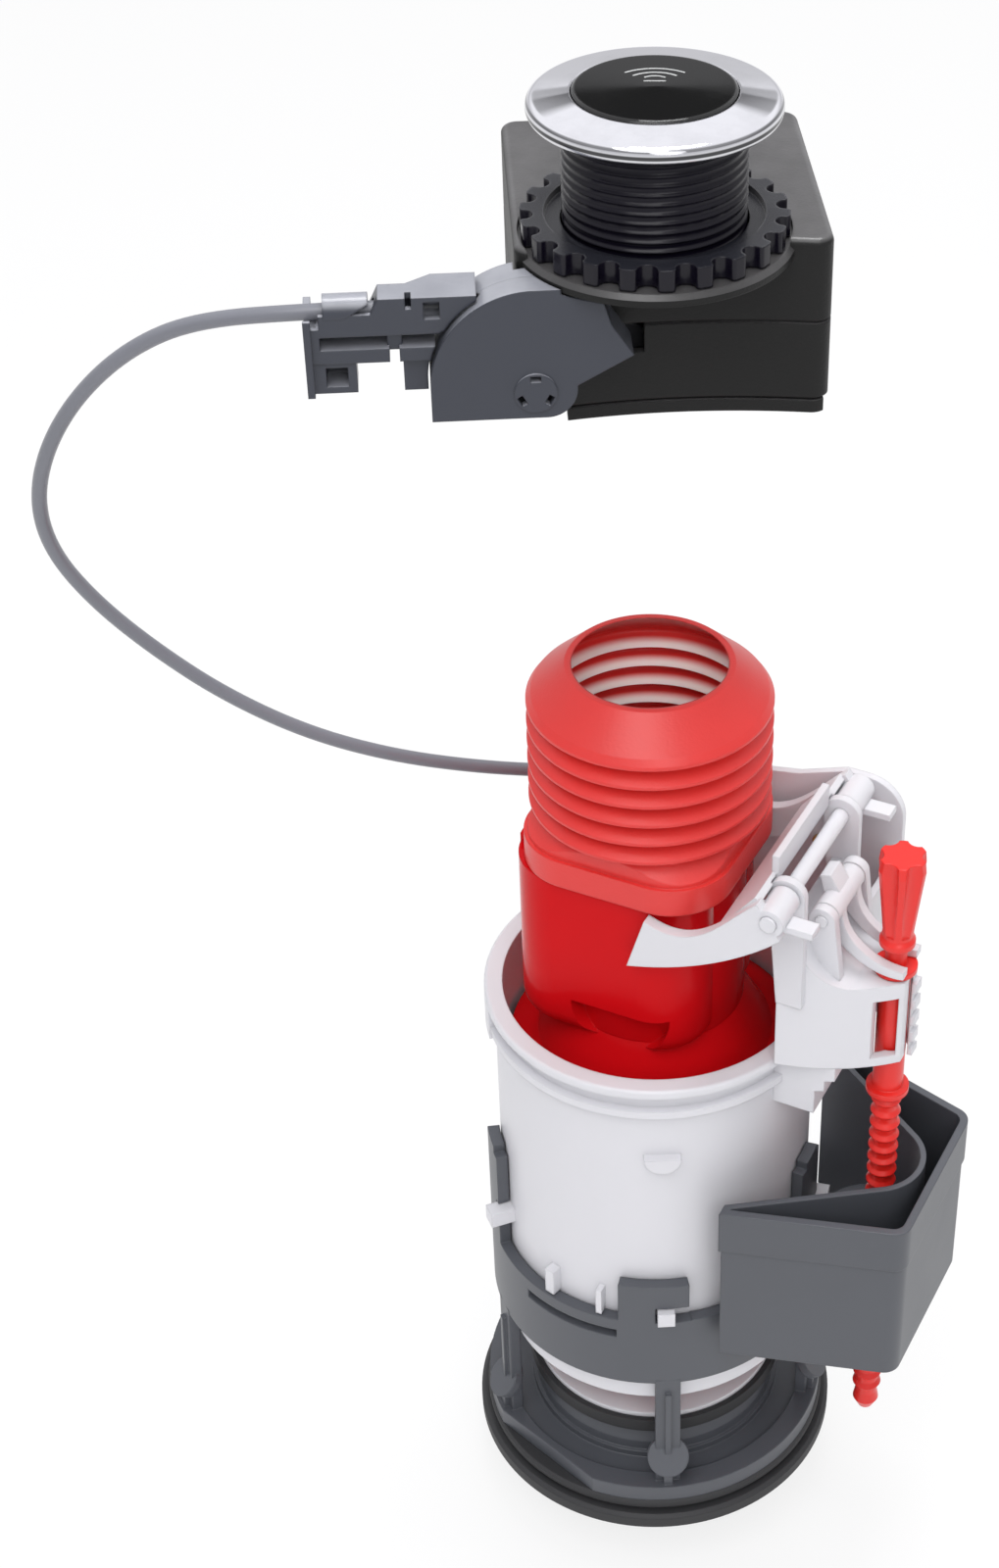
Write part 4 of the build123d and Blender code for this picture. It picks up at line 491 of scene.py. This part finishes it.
def lay_over(material, effect, **values):
    """Puts an effect over the colour of a finish and returns its node and the shader."""
    tree = material.node_tree
    shader = tree.nodes["Principled BSDF"]
    under = shader.inputs["Base Color"].links[0].from_socket
    over = node(tree, "ShaderNodeGroup", node_tree=GROUPS[effect], **values)
    tree.links.new(under, over.inputs["Colour"])
    tree.links.new(over.outputs["Colour"], shader.inputs["Base Color"])
    return over, shader


def paint_lit_tops(material, colour, amount, roughness):
    """Makes the faces of a moulding that look up paler with painted light, with a thin gloss."""
    lit_tops, shader = lay_over(material, "lit_tops", Rubbed_Colour=(*colour, 1), Amount=amount)
    material.node_tree.links.new(lit_tops.outputs["Gloss"], shader.inputs["Coat Weight"])
    shader.inputs["Coat Roughness"].default_value = roughness


def dress(material, *names):
    """Gives a finish to CAD nodes."""
    for name in names:
        slots = frame["nodes"][name].material_slots
        if not slots:
            frame["nodes"][name].data.materials.append(material)
        for slot in slots:
            slot.material = material


# Mesh building

# Edges that bend more than this stay sharp
SHARP_ANGLE = math.radians(40)


def finish_mesh(name, shape, material, body):
    """Turns a bmesh into a piece that rides on a body."""
    bmesh.ops.recalc_face_normals(shape, faces=shape.faces)
    mesh = bpy.data.meshes.new(name)
    shape.to_mesh(mesh)
    shape.free()
    mesh.materials.append(material)
    mesh.shade_smooth()
    mesh.set_sharp_from_angle(angle=SHARP_ANGLE)
    piece = bpy.data.objects.new(name, mesh)
    bpy.context.scene.collection.objects.link(piece)
    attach(piece, body)
    return piece


def ring_of(shape, radius, level, around):
    """A ring of points about the Z axis."""
    turns = [math.tau * step / around for step in range(around)]
    return [shape.verts.new((radius * math.cos(turn), radius * math.sin(turn), level)) for turn in turns]


def join_loops(shape, pairs):
    """Faces between each pair of closed loops."""
    for first, second in pairs:
        for step in range(len(first)):
            after = (step + 1) % len(first)
            shape.faces.new((first[step], first[after], second[after], second[step]))


# Threads: share of the pitch over which the ends fade out, sharpness of the crest, rows in a turn
THREAD_FADE = 0.6
THREAD_CREST = 4
THREAD_ROWS = 9


def helical_sleeve(crest, core, bore, low, high, pitch, around=120):
    """A hollow screw: rounded thread outside, plain bore inside."""
    shape = bmesh.new()
    rows = round((high - low) / pitch * THREAD_ROWS)
    run_out = THREAD_FADE * pitch
    loops = []
    for row in range(rows + 1):
        level = low + (high - low) * row / rows
        fade = min(1.0, (level - low) / run_out, (high - level) / run_out)
        loop = []
        for step in range(around):
            turn = step / around
            wave = 0.5 + 0.5 * math.cos(math.tau * ((level - low) / pitch - turn))
            radius = core + (crest - core) * fade * wave ** THREAD_CREST
            angle = math.tau * turn
            loop.append(shape.verts.new((radius * math.cos(angle), radius * math.sin(angle), level)))
        loops.append(loop)
    loops += [ring_of(shape, bore, level, around) for level in (high, low)]
    join_loops(shape, zip(loops, loops[1:] + loops[:1]))
    return shape


def turned(profile, around=180):
    """A ring turned about the Z axis from a closed profile of radius and height."""
    shape = bmesh.new()
    loops = [ring_of(shape, radius, level, around) for radius, level in profile]
    join_loops(shape, zip(loops, loops[1:] + loops[:1]))
    return shape


# How far the bellows' inner crests and their pockets lie inside its outer reach
CREST_INSET = 0.0044
POCKET_INSET = 0.0024


class FLUSH_OT_valve_reds(bpy.types.Operator):
    """Finish the red tube, bellows and float screw"""

    bl_idname = "flush.valve_reds"
    bl_label = "Valve reds"

    def execute(self, context):
        colours = context.scene.flush_colours
        tube = moulding("Tube red gloss", colours.red_tube, roughness=0.16, grain_scale=900,
                        grain_depth=0.00002, drift=0.10, Specular_IOR_Level=0.08)
        dress(tube, "valve_tube")
        bellows = moulding("Bellows red matte", colours.red_bellows, roughness=0.38, grain_scale=1300,
                           grain_depth=0.00009, drift=0.16, grain_strength=0.5,
                           Specular_IOR_Level=0.5, Subsurface_Weight=0.15, Subsurface_Scale=1.0,
                           Subsurface_Radius=(0.003, 0.0007, 0.0005))
        low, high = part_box("overflow_bellows")
        reach = (high.x - low.x) / 2
        # Painted highlight inside the folds of the bellows, on the inner faces that look up
        lay_over(bellows, "fold_light", Bloom_Colour=(*colours.fold_painted_light, 1),
                 Axis=((low.x + high.x) / 2, (low.y + high.y) / 2, 0),
                 Crest_Radius=reach - CREST_INSET, Pocket_Radius=reach - POCKET_INSET)
        dress(bellows, "overflow_bellows")
        screw = moulding("Screw red satin", colours.red_screw, roughness=0.32, grain_scale=1800,
                         grain_depth=0.00002, drift=0.08, Subsurface_Weight=0.15,
                         Subsurface_Scale=1.0, Subsurface_Radius=(0.002, 0.0004, 0.0003))
        dress(screw, "float_screw")
        return {"FINISHED"}


class FLUSH_OT_valve_whites(bpy.types.Operator):
    """Finish the white cylinder, head, levers and pins"""

    bl_idname = "flush.valve_whites"
    bl_label = "Valve whites"

    def execute(self, context):
        colours = context.scene.flush_colours
        white = moulding("White moulding", colours.white, roughness=0.36, grain_scale=2200,
                         grain_depth=0.00002, drift=0.03, Subsurface_Weight=0.12,
                         Subsurface_Scale=1.0, Subsurface_Radius=(0.0015, 0.0015, 0.0016))
        dress(white, "valve_cylinder", "head_frame", "fork_lever", "latch_arm", "fork_pin",
              "latch_pin", "cable_anchor", "seal_clamp")
        return {"FINISHED"}


class FLUSH_OT_greys(bpy.types.Operator):
    """Finish the grey base, cup, pulley and holder"""

    bl_idname = "flush.greys"
    bl_label = "Greys"

    def execute(self, context):
        colours = context.scene.flush_colours
        slate = moulding("Slate moulding", colours.slate, roughness=0.4, grain_scale=3200,
                         grain_depth=0.00003, drift=0.12)
        dress(slate, "base_body", "float_cup")
        pulley = moulding("Pulley moulding", colours.pulley_grey, roughness=0.32, grain_scale=3600,
                          grain_depth=0.00003, drift=0.10, Specular_IOR_Level=0.4)
        # Painted light: the tops of the pulley and the holder are painted paler
        paint_lit_tops(pulley, colours.pulley_lit_top, amount=0.7, roughness=0.25)
        dress(pulley, "pulley_housing", "pulley_cover", "cable_holder", "cable_quadrant")
        return {"FINISHED"}


class FLUSH_OT_seals(bpy.types.Operator):
    """Finish the rubber seals"""

    bl_idname = "flush.seals"
    bl_label = "Seals"

    def execute(self, context):
        colours = context.scene.flush_colours
        rubber = moulding("Seal rubber", colours.rubber, roughness=0.6, grain_scale=5200,
                          grain_depth=0.00005, drift=0.25, grain_strength=0.5)
        dress(rubber, "outlet_seal", "flush_seal")
        return {"FINISHED"}


# Colours of the metal and of what lies inside the button unit
RING_CHROME = (0.86, 0.86, 0.87)
WINDOW_BLACK = (0.006, 0.006, 0.006)
STEEL = (0.55, 0.55, 0.56)
BRASS = (0.6, 0.42, 0.15)
CELL_SLEEVE = (0.09, 0.09, 0.1)
BOARD_GREEN = (0.02, 0.1, 0.04)


class FLUSH_OT_button_unit(bpy.types.Operator):
    """Finish the case, nut, ring, window and inner parts of the button unit"""

    bl_idname = "flush.button_unit"
    bl_label = "Button unit"

    def execute(self, context):
        colours = context.scene.flush_colours
        case = moulding("Battery box spark grain", colours.case_black, roughness=0.45,
                        grain_scale=1500, grain_depth=0.00012, drift=0.3, grain_strength=0.8,
                        Specular_IOR_Level=0.18)
        # Painted light: the top of the case is painted paler
        paint_lit_tops(case, colours.case_lit_top, amount=0.8, roughness=0.3)
        dress(case, "upper_case", "lower_case", "battery_cover")
        nut = moulding("Nut black", colours.stem_black, roughness=0.2, grain_scale=1500,
                       grain_depth=0.00002, drift=0.15, Specular_IOR_Level=0.3)
        # Painted light: the top of the nut is painted paler
        paint_lit_tops(nut, colours.nut_lit_top, amount=0.7, roughness=0.2)
        dress(nut, "lock_nut")
        chrome = polished("Ring chrome", RING_CHROME, roughness=0.045, marks=0.05, Metallic=1.0)
        dress(chrome, "bezel_ring")
        window = polished("Sensor window", WINDOW_BLACK, roughness=0.05, marks=0.04)
        dress(window, "sensor_lens", "sensor_module")
        steel = polished("Plated steel", STEEL, roughness=0.3, marks=0.2, Metallic=1.0)
        dress(steel, "cover_screws", "gear_motor")
        brass = polished("Brass", BRASS, roughness=0.28, marks=0.2, Metallic=1.0)
        dress(brass, "quadrant_nipple", "fork_nipple")
        sleeve = moulding("Cell sleeve", CELL_SLEEVE, roughness=0.3, grain_scale=1200,
                          grain_depth=0.00001)
        dress(sleeve, "battery_cells")
        board = moulding("Board green", BOARD_GREEN, roughness=0.35, grain_scale=1800,
                         grain_depth=0.00002)
        dress(board, "circuit_board")
        return {"FINISHED"}


# Section of the ring: rolled rim, stem socket, and the soft corner beside the window. The rim's half
# height is a share of the ring's height, and its roll stops where the sloping face begins.
RIM_ROLL = 0.0015
RIM_SHARE = 0.384
RIM_STEPS = 22
RIM_END = math.radians(81)
SOCKET_DEPTH = 0.001
SOCKET_FIT = 0.0003
WINDOW_FIT = 0.0002
RING_CORNER = 0.00015
# Share of the face at which a loop keeps it flat beside the rim
RIM_HOLD = 0.05


class FLUSH_OT_polished_ring(bpy.types.Operator):
    """Turn the plated ring with its rolled rim"""

    bl_idname = "flush.polished_ring"
    bl_label = "Polished ring"

    def execute(self, context):
        low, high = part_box("bezel_ring")
        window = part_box("sensor_lens")
        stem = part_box("threaded_shank")
        reach = (high.x - low.x) / 2
        bore = (window[1].x - window[0].x) / 2 + WINDOW_FIT
        socket = (stem[1].x - stem[0].x) / 2 + SOCKET_FIT
        half = RIM_SHARE * (high.z - low.z)
        profile = [(bore, low.z + SOCKET_DEPTH), (socket, low.z + SOCKET_DEPTH), (socket, low.z)]
        for step in range(RIM_STEPS + 1):
            turn = -math.pi / 2 + (math.pi / 2 + RIM_END) * step / RIM_STEPS
            profile.append((reach - RIM_ROLL + RIM_ROLL * math.cos(turn),
                            low.z + half + half * math.sin(turn)))
        crown = Vector((bore + RING_CORNER, high.z))
        flat = Vector(profile[-1]).lerp(crown, RIM_HOLD)
        profile += [tuple(flat), tuple(crown), (bore, high.z - RING_CORNER)]
        chrome = bpy.data.materials["Ring chrome"]
        # Painted reflection: dark and bright lines round the rim, by height
        lay_over(chrome, "rim", Foot=low.z, Top=low.z + 2 * half)
        piece = finish_mesh("polished_ring", turned(profile), chrome, HOUSING)
        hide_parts("bezel_ring")
        return {"FINISHED"}


# Wall of the hollow stem, from the crest of its thread to its bore
STEM_WALL = 0.0034


class FLUSH_OT_stem_thread(bpy.types.Operator):
    """Cut the rounded thread on the hollow stem"""

    bl_idname = "flush.stem_thread"
    bl_label = "Stem thread"

    def execute(self, context):
        colours = context.scene.flush_colours
        sizes = context.scene.flush_sizes
        low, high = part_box("threaded_shank")
        crest = (high.x - low.x) / 2
        material = moulding("Stem black", colours.stem_black, roughness=0.2, grain_scale=1500,
                            grain_depth=0.00001, drift=0.15, Specular_IOR_Level=0.2)
        shape = helical_sleeve(crest, crest - sizes.stem_depth, crest - STEM_WALL, low.z, high.z,
                               sizes.stem_pitch)
        dress(material, "threaded_shank")
        piece = finish_mesh("stem_thread", shape, material, HOUSING)
        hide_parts("threaded_shank")
        return {"FINISHED"}


# The tail's thread is a thin sleeve: its root stands just proud of the tail and its bore is sunk in it.
# It starts above the tail's end and stops under the flange.
TAIL_PROUD = 0.0001
TAIL_SUNK = 0.0006
TAIL_START = 0.001
TAIL_STOP = -0.0012


class FLUSH_OT_tail_thread(bpy.types.Operator):
    """Cut the rounded thread on the outlet tail"""

    bl_idname = "flush.tail_thread"
    bl_label = "Tail thread"

    def execute(self, context):
        sizes = context.scene.flush_sizes
        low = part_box("base_body")[0]
        mount = next(m for m in frame["record"]["mounts"] if m["name"] == "outlet_tail")
        core = mount["dims"]["r_mm"] / 1000
        material = bpy.data.materials["Slate moulding"]
        shape = helical_sleeve(core + sizes.tail_depth, core + TAIL_PROUD, core - TAIL_SUNK,
                               low.z + TAIL_START, TAIL_STOP, sizes.tail_pitch, around=144)
        finish_mesh("tail_thread", shape, material, HOUSING)
        return {"FINISHED"}


# Control points of the cable from the pulley's holder to the head of the valve
CABLE_ROUTE = (
    (-0.0367, -0.0393, 0.3488), (-0.0536, -0.0490, 0.3488), (-0.0776, -0.0533, 0.3436),
    (-0.0920, -0.0565, 0.3358), (-0.1048, -0.0586, 0.3236), (-0.1150, -0.0593, 0.3087),
    (-0.1216, -0.0579, 0.2925), (-0.1230, -0.0539, 0.2767), (-0.1188, -0.0471, 0.2608),
    (-0.1109, -0.0384, 0.2447), (-0.0998, -0.0280, 0.2280), (-0.0857, -0.0160, 0.2132),
    (-0.0705, -0.0030, 0.2023), (-0.0550, 0.0105, 0.1945), (-0.0395, 0.0230, 0.1895),
    (-0.0240, 0.0320, 0.1882), (-0.0070, 0.0364, 0.1900), (0.0100, 0.0364, 0.1900),
)


class FLUSH_OT_cable(bpy.types.Operator):
    """Lay the pull cable between the two units"""

    bl_idname = "flush.cable"
    bl_label = "Cable"

    def execute(self, context):
        sizes = context.scene.flush_sizes
        curve = bpy.data.curves.new("pull_cable", "CURVE")
        curve.dimensions = "3D"
        curve.resolution_u = 8
        curve.bevel_depth = sizes.cable_diameter / 2
        curve.bevel_resolution = 5
        curve.use_fill_caps = True
        spline = curve.splines.new("NURBS")
        spline.points.add(len(CABLE_ROUTE) - 1)
        for point, place in zip(spline.points, CABLE_ROUTE):
            point.co = (*place, 1)
        spline.order_u = 3
        spline.use_endpoint_u = True
        jacket = moulding("Cable jacket", context.scene.flush_colours.cable, roughness=0.34,
                          grain_scale=2400, grain_depth=0.00003, drift=0.15,
                          Coat_Weight=0.15, Coat_Roughness=0.3)
        dress(jacket, "cable_sheath")
        curve.materials.append(jacket)
        piece = bpy.data.objects.new("pull_cable", curve)
        context.scene.collection.objects.link(piece)
        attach(piece, HOUSING)
        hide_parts("cable_sheath")
        return {"FINISHED"}


# Arcs of the wave sign: radius, half angle, and how far the centre is in front of the bar
SIGN_ARCS = ((0.0096, 38.7, 0.0032), (0.0064, 43.0, 0.0020), (0.00295, 45.0, 0.00035))
SIGN_BAR_HALF = 0.0022
SIGN_BAR_BACK = 0.0026
SIGN_PROUD = 0.00004
SIGN_SUNK = 0.0002
SIGN_INK = (0.6, 0.61, 0.61)
ARC_STEPS = 14
BAR_STEPS = 6
# How far the window falls from its middle to its edge
WINDOW_FALL = 0.0002


class FLUSH_OT_wave_sign(bpy.types.Operator):
    """Print the wave sign on the sensor window"""

    bl_idname = "flush.wave_sign"
    bl_label = "Wave sign"

    def execute(self, context):
        low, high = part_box("sensor_lens")
        self.top = high.z
        self.fall = WINDOW_FALL / ((high.x - low.x) / 2)
        self.stroke = context.scene.flush_sizes.sign_stroke
        turn = context.scene.flush_studio.camera_azimuth
        self.aside = Vector((math.cos(turn), math.sin(turn), 0))
        self.ahead = Vector((-math.sin(turn), math.cos(turn), 0))
        shape = bmesh.new()
        for radius, half_angle, drop in SIGN_ARCS:
            half = math.radians(half_angle)
            back = SIGN_BAR_BACK - drop
            arc = []
            for step in range(-ARC_STEPS, ARC_STEPS + 1):
                along = half * step / ARC_STEPS
                arc.append((radius * math.sin(along), back + radius * math.cos(along)))
            self.print_line(shape, arc)
        bar = [(SIGN_BAR_HALF * step / BAR_STEPS, SIGN_BAR_BACK)
               for step in range(-BAR_STEPS, BAR_STEPS + 1)]
        self.print_line(shape, bar)
        ink = moulding("Sign ink", SIGN_INK, roughness=0.5, grain_scale=4000, grain_depth=0.00001,
                       drift=0.02)
        finish_mesh("wave_sign", shape, ink, HOUSING)
        return {"FINISHED"}

    def print_line(self, shape, line):
        """A printed stroke along a line, which follows the slope of the window."""
        loops = []
        for index, place in enumerate(line):
            before = Vector(line[max(index - 1, 0)])
            after = Vector(line[min(index + 1, len(line) - 1)])
            across = (after - before).orthogonal().normalized() * self.stroke / 2
            left, right = Vector(place) + across, Vector(place) - across
            loops.append([self.point(shape, left, SIGN_PROUD), self.point(shape, right, SIGN_PROUD),
                          self.point(shape, right, -SIGN_SUNK), self.point(shape, left, -SIGN_SUNK)])
        join_loops(shape, zip(loops, loops[1:]))
        shape.faces.new(loops[0])
        shape.faces.new(loops[-1][::-1])

    def point(self, shape, flat, rise):
        """A point of the sign, over or under the window's face."""
        place = self.aside * flat.x + self.ahead * flat.y
        return shape.verts.new((place.x, place.y, self.top - self.fall * flat.length + rise))


# Brightness by height over the horizon, as sine of the height and tone: the soft light that falls on the
# object, the pale room that the camera and the polish see, and that room with grey cards on its back wall
LIGHT_BANDS = ((0.0, 0.62), (0.45, 0.74), (0.66, 1.0), (1.0, 1.0))
WALL_BANDS = ((0.0, 0.94), (0.03, 0.84), (0.08, 0.62), (0.26, 0.66))
ROOM_BANDS = WALL_BANDS + ((0.42, 1.0),)
CARD_BANDS = WALL_BANDS + ((0.33, 0.8), (0.345, 0.42), (0.387, 0.42), (0.394, 0.05), (0.46, 0.05),
                           (0.5, 1.0))
# Way to the cards, and how near to it a heading has to be
BACK_WALL = (-0.4226, 0.9063, 0.0)
CARD_EDGE = 0.975
CARD_FULL = 0.988
# How much of the floor is plain white; the rest takes the object's shadow
FLOOR_SHARE = 0.8
FLOOR_WHITE = (0.9, 0.9, 0.9, 1)
FLOOR_ROUGHNESS = 0.8
FLOOR_HALF = 4
FLOOR_GAP = 0.0005
# Lamps: name, place, size, and the setting that holds the power. All aim at the middle of the set.
LAMPS = (
    ("Key", (0.1, -0.75, 1.55), 0.9, "key_power"),
    ("Fill", (0.6, -0.8, 1.0), 0.6, "fill_power"),
    ("Top", (0.0, 0.25, 1.6), 0.6, "top_power"),
)
LAMP_AIM = Vector((0, 0, 0.19))
SENSOR_WIDTH = 36
CLIP_START = 0.01


class FLUSH_OT_studio(bpy.types.Operator):
    """Set the floor, the soft lights and the camera"""

    bl_idname = "flush.studio"
    bl_label = "Studio"

    def execute(self, context):
        scene = context.scene
        studio = scene.flush_studio
        scene.view_settings.view_transform = "Standard"
        self.add_floor(CAD_BOX[0][2])
        self.add_world(scene, studio.world_level)
        for name, place, size, power in LAMPS:
            self.add_light(name, place, size, getattr(studio, power))
        camera = bpy.data.cameras.new("Photo camera")
        camera.lens = studio.lens
        camera.sensor_width = SENSOR_WIDTH
        camera.shift_x = studio.shift
        camera.clip_start = CLIP_START
        holder = bpy.data.objects.new("Photo camera", camera)
        turn = studio.camera_azimuth
        holder.location = (studio.camera_reach * math.sin(turn),
                           -studio.camera_reach * math.cos(turn), studio.camera_height)
        holder.rotation_euler = (math.pi / 2 - studio.camera_pitch, 0, turn)
        scene.collection.objects.link(holder)
        scene.camera = holder
        return {"FINISHED"}

    def add_floor(self, level):
        """A pale floor that keeps the shadow of the object."""
        shape = bmesh.new()
        bmesh.ops.create_grid(shape, x_segments=2, y_segments=2, size=FLOOR_HALF)
        mesh = bpy.data.meshes.new("studio_floor")
        shape.to_mesh(mesh)
        shape.free()
        floor = bpy.data.objects.new("studio_floor", mesh)
        floor.location.z = level - FLOOR_GAP
        bpy.context.scene.collection.objects.link(floor)
        material, tree, shader = start_material("Floor white")
        shader.inputs["Base Color"].default_value = FLOOR_WHITE
        shader.inputs["Roughness"].default_value = FLOOR_ROUGHNESS
        glow = node(tree, "ShaderNodeEmission", Strength=1.0)
        seen = self.blend(tree, self.add_sight(tree), FLOOR_SHARE, shader, glow)
        tree.links.new(seen.outputs[0], tree.nodes["Material Output"].inputs["Surface"])
        mesh.materials.append(material)

    def add_sight(self, tree):
        """One where the camera looks, straight or by way of metal and glass."""
        path = node(tree, "ShaderNodeLightPath")
        mirrored = node(tree, "ShaderNodeMath", operation="MAXIMUM")
        tree.links.new(path.outputs["Is Glossy Ray"], mirrored.inputs[0])
        tree.links.new(path.outputs["Is Transmission Ray"], mirrored.inputs[1])
        sight = node(tree, "ShaderNodeMath", operation="MAXIMUM")
        tree.links.new(path.outputs["Is Camera Ray"], sight.inputs[0])
        tree.links.new(mirrored.outputs[0], sight.inputs[1])
        return sight.outputs[0]

    def blend(self, tree, mask, share, under, over):
        """Mixes a share of one shader over another where a mask is one."""
        part = node(tree, "ShaderNodeMath", operation="MULTIPLY")
        tree.links.new(mask, part.inputs[0])
        part.inputs[1].default_value = share
        mix = node(tree, "ShaderNodeMixShader")
        tree.links.new(part.outputs[0], mix.inputs["Fac"])
        tree.links.new(under.outputs[0], mix.inputs[1])
        tree.links.new(over.outputs[0], mix.inputs[2])
        return mix

    def add_bands(self, tree, height, bands):
        """Brightness of the room as a ramp over the height."""
        room = node(tree, "ShaderNodeBackground")
        tree.links.new(add_ramp(tree, height, bands), room.inputs["Color"])
        return room

    def add_world(self, scene, level):
        """A pale room with grey cards high at its back, and the soft light that falls from it."""
        world = bpy.data.worlds.new("Studio")
        world.use_nodes = True
        tree = world.node_tree
        link = tree.links.new
        place = node(tree, "ShaderNodeTexCoord")
        split = node(tree, "ShaderNodeSeparateXYZ")
        link(place.outputs["Generated"], split.inputs[0])
        level_way = node(tree, "ShaderNodeVectorMath", operation="MULTIPLY")
        link(place.outputs["Generated"], level_way.inputs[0])
        level_way.inputs[1].default_value = (1, 1, 0)
        heading = node(tree, "ShaderNodeVectorMath", operation="NORMALIZE")
        link(level_way.outputs[0], heading.inputs[0])
        ahead = node(tree, "ShaderNodeVectorMath", operation="DOT_PRODUCT")
        link(heading.outputs[0], ahead.inputs[0])
        ahead.inputs[1].default_value = BACK_WALL
        behind = node(tree, "ShaderNodeMapRange", From_Min=CARD_EDGE, From_Max=CARD_FULL)
        link(ahead.outputs["Value"], behind.inputs["Value"])
        soft = self.add_bands(tree, split.outputs["Z"], LIGHT_BANDS)
        soft.inputs["Strength"].default_value = level
        card = self.add_bands(tree, split.outputs["Z"], CARD_BANDS)
        walls = self.add_bands(tree, split.outputs["Z"], ROOM_BANDS)
        room = self.blend(tree, behind.outputs["Result"], 1.0, walls, card)
        final = self.blend(tree, self.add_sight(tree), 1.0, soft, room)
        link(final.outputs[0], tree.nodes["World Output"].inputs["Surface"])
        scene.world = world

    def add_light(self, name, place, size, power):
        """A round soft lamp."""
        lamp = bpy.data.lights.new(name, "AREA")
        lamp.shape = "DISK"
        lamp.size = size
        lamp.energy = power
        holder = bpy.data.objects.new(name, lamp)
        holder.location = place
        aim = LAMP_AIM - Vector(place)
        holder.rotation_euler = aim.to_track_quat("-Z", "Y").to_euler()
        bpy.context.scene.collection.objects.link(holder)


class FLUSH_PT_panel(bpy.types.Panel):
    """Lists the steps that dress the flush set"""

    bl_idname = "FLUSH_PT_panel"
    bl_label = "Flush Set"
    bl_space_type = "VIEW_3D"
    bl_region_type = "UI"
    bl_category = "Flush Set"

    def draw(self, context):
        for step in STEPS:
            self.layout.operator(step.bl_idname)


STEPS = (
    FLUSH_OT_valve_reds, FLUSH_OT_valve_whites, FLUSH_OT_greys, FLUSH_OT_seals, FLUSH_OT_button_unit,
    FLUSH_OT_polished_ring, FLUSH_OT_stem_thread, FLUSH_OT_tail_thread, FLUSH_OT_cable,
    FLUSH_OT_wave_sign, FLUSH_OT_studio,
)
GROUP_TYPES = (FlushColours, FlushSizes, FlushStudio)


def register():
    """Adds the steps, the panel and the settings."""
    for kind in GROUP_TYPES + STEPS + (FLUSH_PT_panel,):
        bpy.utils.register_class(kind)
    bpy.types.Scene.flush_colours = bpy.props.PointerProperty(type=FlushColours)
    bpy.types.Scene.flush_sizes = bpy.props.PointerProperty(type=FlushSizes)
    bpy.types.Scene.flush_studio = bpy.props.PointerProperty(type=FlushStudio)


def unregister():
    """Takes them away again."""
    del bpy.types.Scene.flush_studio
    del bpy.types.Scene.flush_sizes
    del bpy.types.Scene.flush_colours
    for kind in reversed(GROUP_TYPES + STEPS + (FLUSH_PT_panel,)):
        bpy.utils.unregister_class(kind)


def main():
    """Dresses the set step by step."""
    register()
    bpy.ops.flush.valve_reds()
    bpy.ops.flush.valve_whites()
    bpy.ops.flush.greys()
    bpy.ops.flush.seals()
    bpy.ops.flush.button_unit()
    bpy.ops.flush.polished_ring()
    bpy.ops.flush.stem_thread()
    bpy.ops.flush.tail_thread()
    bpy.ops.flush.cable()
    bpy.ops.flush.wave_sign()
    bpy.ops.flush.studio()


if __name__ == "__main__":
    main()
